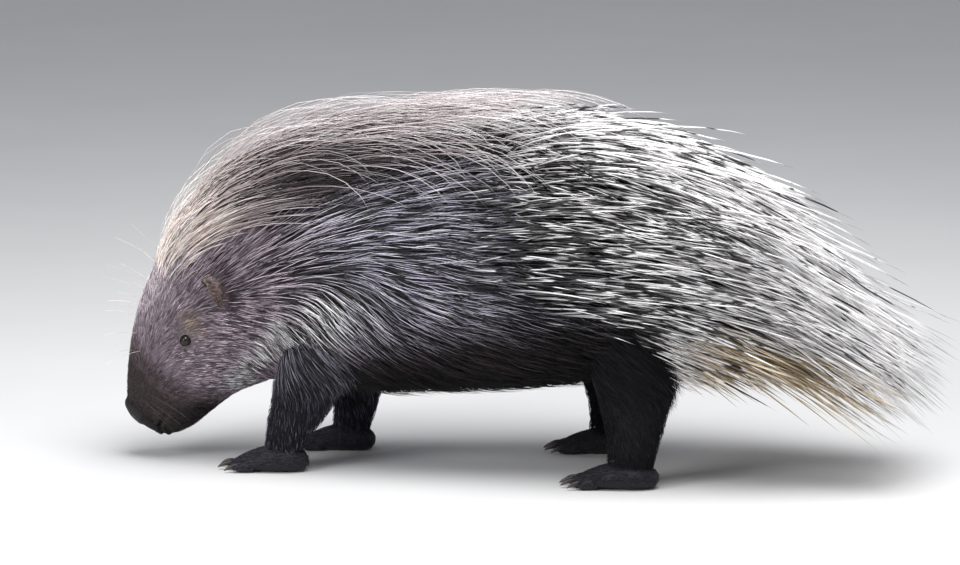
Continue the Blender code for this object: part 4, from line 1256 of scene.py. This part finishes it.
def crest(finish):
    """Long bristles from the forehead to the shoulders, layered, arched and hanging at the tips."""

    def on_crest(u, t):
        stations = (4, 6, 7.5, 9)
        low, high = np.interp(u, stations, (60, 58, 42, 30)), np.interp(u, stations, (18, 22, 20, 10))
        return smooth(t, low, high)

    def along_back(u, turn, along):
        return np.arctan2(-along[:, 2], along[:, 0])

    for name, count, stations, turns, reach, width, rings, levels, flares in CREST:
        u, turn = scatter(body, count, stations, turns, on_crest)
        n, t = len(u), np.abs(turn)
        mass = name in ("crest_under", "crest_over")
        share = np.linspace(0, 1, rings)
        length = DRAW.uniform(*reach, n) * np.interp(u, (3.9, 5.0, 6.5), (0.42, 0.75, 1.0))
        most = levels[1]
        if name == "crest_stray":
            most = most * np.interp(u, (4.4, 6.0, 7.2), (1.3, 1.10, 0.64))
        top = np.interp(u, *CREST_HEIGHT) * (1 - 0.55 * smooth(t, 8, 50)) * DRAW.uniform(levels[0], most, n)
        heights = np.interp(share, *CREST_ARCH) * (top + coat_depth(u))[:, None] - 0.002 * (1 - share)
        base = np.radians(1 + 6 * smooth(t, 0, 45)) + np.radians(DRAW.normal(0, 3.0, n))
        flare = np.radians(DRAW.uniform(*flares, n))
        wander = base[:, None] + flare[:, None] * share ** (2.6 if name == "crest_drape" else 2.0)
        paths, ups = combed(u, turn, length, along_back, heights, wander)
        paths = clumped(paths, np.floor(u * 9) * 1000 + np.floor(turn / 4.5), 0.22)
        root = mix(CREST_BROWN * 0.6, CREST_TAN, smooth(u, 5.8, 4.6))
        middle = mix(CREST_GREY, CREST_TAN, smooth(u, 6.4, 4.6))
        # Dark strands: the crest's own brown, with more of them on the sides of the mass from station 6
        # back, a painted shade on its lower edge.
        brown_and_shade = smooth(u, 4.6, 6.2) * (0.52 + 0.44 * smooth(t, 8, 20) * smooth(u, 5.8, 6.8))
        brown_and_shade = brown_and_shade - 0.34 * smooth(t, 32, 46)
        dark = ((DRAW.random(n) < brown_and_shade) & mass)[:, None]
        middle = np.where(dark, CREST_BROWN * 0.33, middle)
        light = DRAW.random(n) ** 2 if mass else DRAW.uniform(0.6, 1.0, n)
        tip = np.where(dark, CREST_BROWN * 0.50, mix(middle, CREST_WHITE, light))
        at = share[:, None]
        lower = root[:, None] + (middle - root)[:, None] * at / 0.4
        upper = middle[:, None] + (tip - middle)[:, None] * (at - 0.4) / 0.6
        # Painted shade: the crest's mass darker along its top, most on the midline.
        painted_top_shade = 1 - smooth(u, 4.8, 6.2) * mass * (0.38 - 0.30 * smooth(t, 8, 22))
        light = (painted_top_shade * np.exp(DRAW.normal(0, 0.30, n)))[:, None, None]
        tint = np.clip(np.where(at < 0.4, lower, upper) * light, 0, 1)
        wide = width * DRAW.uniform(0.7, 1.2, n)
        taper = np.interp(share[:-1], (0, 0.2, 0.7, 1), (0.8, 1.0, 0.75, 0.35))
        strands(name, finish, "bristles", paths, ups, wide, 0.8, taper, tint, body_patch(u, turn))


# Quills


QUILLS = (
    # name, form, count, stations, turns, front and rear length, low share, width,
    # droop at the flanks and on top, degrees of lift in front and behind
    ("back_quills", body, 2700, (8.9, 14.0), (0, 122), (0.13, 0.285), 0.66, 0.0026, (0.010, 0.046), (9, 4)),
    ("haunch_quills", body, 1200, (12.2, 14.4), (98, 140), (0.1, 0.17), 0.9, 0.0013, (0.008, 0.008), (5, 6)),
    ("rump_quills", body, 620, (13.4, 14.8), (0, 130), (0.31, 0.275), 0.85, 0.0018, (0.025, 0.040), (9, 10)),
    ("tail_quills", tail, 420, (0.6, 3.6), (0, 180), (0.09, 0.105), 0.8, 0.0014, (0.006, 0.006), (12, 12)),
    ("stray_quills", body, 6, (12.7, 13.3), (8, 30), (0.27, 0.28), 1.0, 0.0018, (0.004, 0.004), (19, 19)),
)
# Degrees that quills point down: a station, on the back line, and on the flanks.
QUILL_SLOPES = np.array((
    (8.9, -32, -9), (9.5, -30, -8), (10.2, -23, -6), (11.0, -5, -2),
    (12.0, 13, 6), (13.0, 26, 18), (14.0, 29, 21), (15.0, 29, 23),
))
QUILL_RINGS = 7
ALL_PALE = 1.2  # no dark band


def quills(finish):
    """Banded quills from the loins back, white ones on rump and tail, cream below them."""
    share = np.linspace(0, 1, QUILL_RINGS)

    def settled(u, t):
        start = 8.9 + 2.0 * smooth(t, 60, 122)
        return smooth(u, start, start + 1.6) * (1 - smooth(t, 96, 108) * smooth(u, 12.9, 12.2))

    for name, form, count, stations, turns, lengths, low, width, droop, lifts in QUILLS:
        u, turn = scatter(form, count, stations, turns, settled if name == "back_quills" else None)
        n, t = len(u), np.abs(turn)
        if form is body:
            far = smooth(u, *stations)
            sink = coat_depth(u) * 0.8
            slopes = [np.interp(u, QUILL_SLOPES[:, 0], QUILL_SLOPES[:, k]) for k in (1, 2)]
            slope = part_way(slopes, np.clip(t / 80, 0, 1)) + 3 * smooth(t, 105, 150)
            pale = np.interp(u, (9.0, 10.2, 11.4, 12.4, 13.2), (0.30, 0.54, 0.70, 0.90, 1.06))
            pale = pale + 0.16 * smooth(t, 58, 20) - 0.14 * smooth(t, 78, 112) * smooth(u, 13.6, 12.6)
            under = smooth(t, 86, 106) * smooth(u, 12.2, 13.0)
            patch = body_patch(u, turn)
        else:
            far = (u - stations[0]) / (stations[1] - stations[0])
            sink, slope, pale = np.full(n, 0.006), np.full(n, 15.0), np.full(n, ALL_PALE)
            under = smooth(t, 30, 95)
            patch = strip_patch(8, u / 4, turn)
        length = part_way(lengths, far) * DRAW.uniform(0.62, 1.05, n)
        length = length * (1 + (low - 1) * np.clip((t - turns[0]) / (turns[1] - turns[0]), 0, 1))
        slope = np.radians(slope + DRAW.normal(0, 3.4, n))
        _, number = np.unique(np.floor(u * 5) * 1000 + np.floor(turn / 7), return_inverse=True)
        slope = slope + np.radians(DRAW.normal(0, 2.2, number.max() + 1))[number]
        splay = -np.radians(6) * np.sin(np.radians(turn)) + np.radians(DRAW.normal(0, 2.2, n))
        way = np.stack((np.cos(slope) * np.cos(splay), np.sin(splay), -np.sin(slope)), -1)
        lift = np.radians(part_way(lifts, far) + DRAW.uniform(-1.5, 2.5, n))[:, None]
        here, outward, _, _ = form.frame(u, turn)
        lean = dot(way, outward)
        raised = unit(way - outward * lean) * np.cos(lift) + outward * np.sin(lift)
        way = np.where(lean < np.sin(lift), raised, way)
        out = (smooth(share, 0, 0.16) - 1.0) * (sink + 0.001)[:, None]
        out = out + DRAW.uniform(-0.004, 0.003, n)[:, None] * share
        paths = straight(here, way, length, share) + outward[:, None] * out[..., None]
        bend = DRAW.normal(0, 0.004, (n, 2))
        hang = part_way(droop, smooth(t, 75, 25)) * DRAW.uniform(0.6, 1.25, n)
        paths[..., 2] += (bend[:, :1] - hang[:, None]) * share**2
        paths[..., 1] += bend[:, 1:] * share**2
        pale = np.clip(pale + DRAW.normal(0, 0.15, n), 0.12, ALL_PALE)
        pale = pale * (1 - 0.5 * (DRAW.random(n) < 0.12))
        pale = np.where(DRAW.random(n) < 0.02 + 0.12 * far, ALL_PALE, pale)
        pale = np.where(under > 0.5, ALL_PALE, pale)
        tone = mix(QUILL_WHITE, QUILL_CREAM * DRAW.uniform(0.3, 1.0, n)[:, None], under * 0.9)
        # The quills darken towards their roots, a painted shade for the dark gaps between them.
        tint = tone[:, None] * np.interp(share, (0, 0.2, 0.5, 1), (0.08, 0.28, 0.95, 1.0))[:, None]
        tint = np.clip(tint * np.exp(DRAW.normal(0.0, 0.14, n))[:, None, None], 0, 1)
        chance = DRAW.random(n)
        wide = width * DRAW.uniform(0.6, 1.15, n)
        if name == "back_quills":
            wide = wide * (0.60 + 0.40 * smooth(u, 9.0, 12.0))
        taper = np.interp(share[:-1], (0, 0.2, 0.6, 1), (0.55, 1.0, 0.95, 0.45))
        from_tip = length[:, None] * (1 - share)
        ups, chance, pale = (each_ring(values, QUILL_RINGS) for values in (outward, chance, pale))
        clear = paths[:, -1, 2] > 0.02
        strands(
            name, finish, "quills", paths[clear], ups[clear], wide[clear], 1.0, taper, tint[clear],
            patch[clear], from_tip=from_tip[clear], chance=chance[clear], pale=pale[clear],
        )


# Legs, feet, ears and whiskers


def leg_coat(finish, body_tree):
    """Short dark fur down each leg, outside the body."""
    rings = 3
    share = np.linspace(0, 1, rings)
    lengthways, turned = evenly(np.arange(LEG_TUFTS))
    for number, (name, rows, side, plan) in enumerate(LEGS):
        form, front = leg_form(rows, side), plan is FRONT_FOOT
        u, turn = form.last * lengthways, 360 * turned
        here, outward, along, _ = form.frame(u, turn)
        kept = np.array([outside(body_tree, place, 0.0005) for place in here])
        u, turn, here, outward, along = (values[kept] for values in (u, turn, here, outward, along))
        n = len(u)
        shoulder = smooth(here[:, 2], 0.092, 0.140)
        upper = shoulder * front
        backwards = (0.35 + 0.75 * shoulder)[:, None] * (1.0, 0.0, 0.0)
        way = unit(unit(along) * 0.9 + backwards + DRAW.normal(0, 0.08, (n, 3)))
        way = unit(way - outward * dot(way, outward))
        length = np.interp(u, (0, 3, 5), (0.022, 0.015, 0.010)) + 0.022 * shoulder
        length = length * DRAW.uniform(0.7, 1.2, n)
        high = smooth(share, 0, 0.6) * (0.004 * DRAW.uniform(0.2, 1.1, n))[:, None] - 0.004
        high = high - 0.036 * length[:, None] * share**2
        paths = straight(here, way, length, share) + outward[:, None] * high[..., None]
        paths[..., 2] = np.maximum(paths[..., 2], 0.0015)
        # Painted light and shade: the front legs lighter with more bright streaks, a painted sheen, and the
        # hind legs darker, a painted shade.
        tip = mix(LEG_BLACK * (1.4 if front else 0.38), FLANK_GREY * 0.3, upper * 0.7)
        lit = DRAW.random(n) < 0.08 + 0.20 * front + 0.10 * upper
        tip = tip * np.where(lit, 4.2, 0.75)[:, None]
        tint = shades(tip * 0.30, tip, rings, 0.30)
        wide = 0.0010 * DRAW.uniform(0.7, 1.2, n)
        ups, taper = each_ring(outward, rings), np.interp(share[:-1], *FUR_TAPER)
        patch = strip_patch(number, u / form.last, turn)
        strands(f"leg_fur_{name}", finish, "dark_fur", paths, ups, wide, 0.5, taper, tint, patch)


def outside(tree, place, margin):
    """True where the place lies outside the skin that the tree holds."""
    near, normal, _, _ = tree.find_nearest(Vector(place))
    return (Vector(place) - near).dot(normal) > margin


def roots_on(mesh, count, keep):
    """Roots spread by area over the triangles of a mesh for which keep(centres, normals) is true."""
    mesh.calc_loop_triangles()
    corners = np.empty(len(mesh.loop_triangles) * 3, np.int32)
    mesh.loop_triangles.foreach_get("vertices", corners)
    places = vertex_array(mesh)[corners.reshape(-1, 3)]
    normals = np.cross(places[:, 1] - places[:, 0], places[:, 2] - places[:, 0])
    area = np.linalg.norm(normals, axis=1) / 2
    normals = unit(normals)
    chosen = keep(places.mean(axis=1), normals)
    places, normals, area = places[chosen], normals[chosen], area[chosen]
    picks = DRAW.choice(len(area), size=count, p=area / area.sum())
    a, b = DRAW.random((2, count))[..., None]
    a, b = np.where(a + b > 1, 1 - a, a), np.where(a + b > 1, 1 - b, b)
    first, second, third = places[picks].transpose(1, 0, 2)
    return first + (second - first) * a + (third - first) * b, normals[picks]


def tufts(name, finish, slot, spots, normals, way, length, width, root, tip, patch, lift):
    """Small straight tufts at the spots, leaning off the skin by the lift at their tips."""
    way = unit(way - normals * dot(way, normals))
    high = np.array((-0.0006, 0.6, 1.0)) * np.c_[np.ones(len(spots)), lift, lift]
    paths = straight(spots, way, length, np.array((0.0, 0.45, 1.0)))
    paths = paths + normals[:, None] * high[..., None]
    paths[..., 2] = np.maximum(paths[..., 2], 0.0008)
    ups, taper, tint = each_ring(normals, 3), np.array((0.9, 1.0)), shades(root, tip, 3, 0.25)
    strands(name, finish, slot, paths, ups, width, 0.5, taper, tint, patch)


def feet_and_ears(finish, skin, ears):
    """Tufts on the feet, within their boxes and clear of the soles, and on the ears."""
    for number, (name, _, _, plan) in enumerate(LEGS):
        part, side = name.split("_")
        low, high = (np.array(corner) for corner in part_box(f"{part}_foot_{side}"))

        def on_foot(centres, normals):
            inside = np.all((centres > low - 0.002) & (centres < high + 0.002), axis=1)
            return inside & (normals[:, 2] > -0.25) & (centres[:, 2] > 0.0025)

        spots, normals = roots_on(skin.data, FOOT_TUFTS, on_foot)
        way = np.array((-0.9, 0.0, -0.25)) + DRAW.normal(0, 0.12, (FOOT_TUFTS, 3))
        near_claws = smooth(spots[:, 0], low[0] + 0.034, low[0] + 0.012)
        length = DRAW.uniform(0.0050, 0.0085, FOOT_TUFTS) * (1 - 0.45 * near_claws)
        width = 0.0008 * DRAW.uniform(0.7, 1.2, FOOT_TUFTS)
        # Painted light and shade: front feet lighter, hind feet darker.
        lights = (0.9, 3.4) if plan is FRONT_FOOT else (0.5, 2.0)
        tip = LEG_BLACK * DRAW.uniform(*lights, FOOT_TUFTS)[:, None]
        share = (spots - low) / (high - low)
        patch = strip_patch(4 + number, np.clip(share[:, 0], 0, 1), share[:, 1] * 180 + share[:, 2] * 170)
        tufts(f"foot_fur_{number + 1}", finish, "dark_fur", spots, normals, way, length, width, tip * 0.4,
              tip, patch, DRAW.uniform(0.0004, 0.0016, FOOT_TUFTS))
    for number, (side, label) in enumerate(SIDES.items()):
        _, rise, _, _ = ear_axes(side)

        def on_ear(centres, _):
            away, _, _, _, which = ears.near(centres)
            return (away < 0.0012) & (which == side)

        spots, normals = roots_on(skin.data, EAR_TUFTS, on_ear)
        _, high, wide, deep, _ = ears.near(spots)
        rim = smooth(high, 0.35, 0.65) + smooth(np.abs(wide), 0.75, 0.95)
        way = rise + (0.35, 0.0, -0.05) + DRAW.normal(0, 0.28, (EAR_TUFTS, 3))
        length = DRAW.uniform(0.006, 0.011, EAR_TUFTS) * (1 + 0.5 * np.clip(rim, 0, 1)) * (1 - 0.4 * deep)
        width = 0.0006 * DRAW.uniform(0.7, 1.2, EAR_TUFTS)
        tip = mix(EAR_BROWN, FACE_GREY, DRAW.random(EAR_TUFTS) * 0.8)
        tip = mix(tip, NOSE * 0.6, deep * 0.9)
        patch = strip_patch(9 + number, np.clip(high, 0, 1) * 0.5, 175 + 170 * np.clip(wide, -1, 1))
        tufts(f"ear_fur_{label}", finish, "ear", spots, normals, way, length, width, tip * 0.5, tip, patch,
              DRAW.uniform(0.0008, 0.0030, EAR_TUFTS))


WHISKERS = np.array((
    # station, turn, length, degrees swept back, degrees down
    (0.55, 66, 0.040, 62, -6), (0.70, 76, 0.046, 70, 0), (0.85, 86, 0.050, 76, 4),
    (1.00, 70, 0.048, 72, -8), (1.10, 82, 0.052, 78, -2), (1.25, 92, 0.052, 80, 4),
    (1.35, 74, 0.048, 78, -10), (0.65, 92, 0.040, 72, 6), (2.3, 34, 0.070, 20, -16),
    (2.7, 22, 0.078, 18, -28), (3.3, 40, 0.080, 30, -30), (3.9, 34, 0.090, 28, -44),
    (3.0, 12, 0.070, 12, -22), (4.2, 20, 0.095, 30, -56), (1.8, 26, 0.060, 14, -4),
    (3.6, 62, 0.060, 50, -20), (3.5, 24, 0.085, 20, -36), (2.0, 44, 0.060, 30, 4),
))
WHISKER_RINGS = 10


def whiskers(finish):
    """Dark whiskers on the sides of the muzzle, and long pale ones on its bridge and the brow."""
    n = len(WHISKERS)
    station, turned, reach, back, down = WHISKERS.T
    back, down = np.radians(back), np.radians(down)
    share = np.linspace(0, 1, WHISKER_RINGS)
    for side, label in SIDES.items():
        u = station + DRAW.normal(0, 0.05, n)
        turn = (turned + DRAW.normal(0, 2.0, n)) * -side
        here, outward = skin_place(u, turn)
        front = turned < 50
        forwards = np.where(front, -np.cos(back), np.sin(back))
        sideways = side * np.where(front, np.sin(back), np.cos(back))
        aim = unit(np.stack((forwards, sideways, -np.sin(down)), -1) + outward * 0.55)
        length = reach * DRAW.uniform(0.85, 1.05, n)
        room = (here[:, 0] + WHISKER_REACH) / np.maximum(-aim[:, 0] * length, 1e-6)
        length = np.where(aim[:, 0] < 0, length * np.minimum(room, 1.0), length)
        curl = np.array((0.010, 0.0, -0.012)) * share[:, None] ** 2
        paths = straight(here, aim, length, share) + curl
        paths = paths - outward[:, None] * (0.002 * (1 - share))[:, None]
        tip = np.where((turned > 50)[:, None], WHISKER_DARK, WHISKER_PALE)
        tint = shades(tip * 0.6, tip, WHISKER_RINGS, 0.1)
        wide = np.where(turned > 50, 0.00042, 0.00062)
        ups, taper = each_ring(outward, WHISKER_RINGS), np.interp(share[:-1], (0, 1), (1.0, 0.35))
        strands(f"whiskers_{label}", finish, "bristles", paths, ups, wide, 1.0, taper, tint,
                body_patch(u, turn))


# Put together


skin_material = skin_finish()
fur_material = hair_finish("fur", 0.60, 0.22)
bristle_material = hair_finish("bristles", 0.48, 0.35)
crest_material = hair_finish("crest", 0.48, 0.35)

skin = build_skin(skin_material)
ears = Ears()
paint_skin(skin, ears)
fixed(skin)
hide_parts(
    "head", "neck", "torso", "tail", "ear_left", "ear_right",
    "front_leg_left", "front_leg_right", "hind_leg_left", "hind_leg_right",
    "front_foot_left", "front_foot_right", "hind_foot_left", "hind_foot_right",
)
eye_material = eye_finish()
for side, node in ((LEFT, "eye_left"), (RIGHT, "eye_right")):
    eye = build_eye(side, eye_material)
    fixed(eye)
    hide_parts(node)
    fixed(build_lids(side, skin_material))
fixed(build_claws(claw_finish()))

short_coat(bristle_material, ears)
crest(crest_material)
quills(quill_finish())
body_only = lofted(np.linspace(-0.9, 14.9, 60), 60, lambda u, turn: skin_place(u, turn)[0])
body_tree = BVHTree.FromBMesh(body_only)
body_only.free()
leg_coat(fur_material, body_tree)
feet_and_ears(fur_material, skin, ears)
whiskers(bristle_material)

# Floor, camera and lights

FLOOR = 6.0  # half its length and width
# The camera looks from the animal's left, a little from behind and above.
AZIMUTH, ELEVATION = math.radians(8), math.radians(10)
TARGET, DISTANCE = Vector((-0.07, 0.0, 0.225)), 6.0
LENS, SENSOR = 187.0, 36.0
# Name, place, aim, size and power of each light.
LIGHTS = (
    ("sky", (0.3, -0.6, 2.6), (0, 0, 0.2), 2.0, 105),
    ("front", (-2.0, -2.4, 1.6), (-0.1, 0, 0.2), 1.2, 50),
)
SKY_COLOUR, SKY_STRENGTH = (0.92, 0.94, 1.0, 1.0), 0.40


def looking(obj, place, way_back):
    """Puts a camera or light at a place, with its back the given way."""
    obj.location = place
    obj.rotation_euler = way_back.to_track_quat("Z", "Y").to_euler()


bm = bmesh.new()
bmesh.ops.create_grid(bm, x_segments=1, y_segments=1, size=FLOOR)
add_object("floor", mesh_from("floor", bm), floor_finish())

level = math.cos(ELEVATION)
back = Vector((math.sin(AZIMUTH) * level, -math.cos(AZIMUTH) * level, math.sin(ELEVATION)))
camera_data = bpy.data.cameras.new("camera")
camera_data.lens, camera_data.sensor_width = LENS, SENSOR
camera = linked("camera", camera_data)
looking(camera, TARGET + back * DISTANCE, back)
bpy.context.scene.camera = camera
for name, place, aim, size, power in LIGHTS:
    light = bpy.data.lights.new(name, "AREA")
    light.energy, light.size = power, size
    looking(linked(name, light), place, Vector(place) - Vector(aim))
world = bpy.data.worlds.new("studio")
world.use_nodes = True
background = world.node_tree.nodes["Background"]
background.inputs["Color"].default_value = SKY_COLOUR
background.inputs["Strength"].default_value = SKY_STRENGTH
bpy.context.scene.world = world
bpy.context.scene.view_settings.view_transform = "Standard"
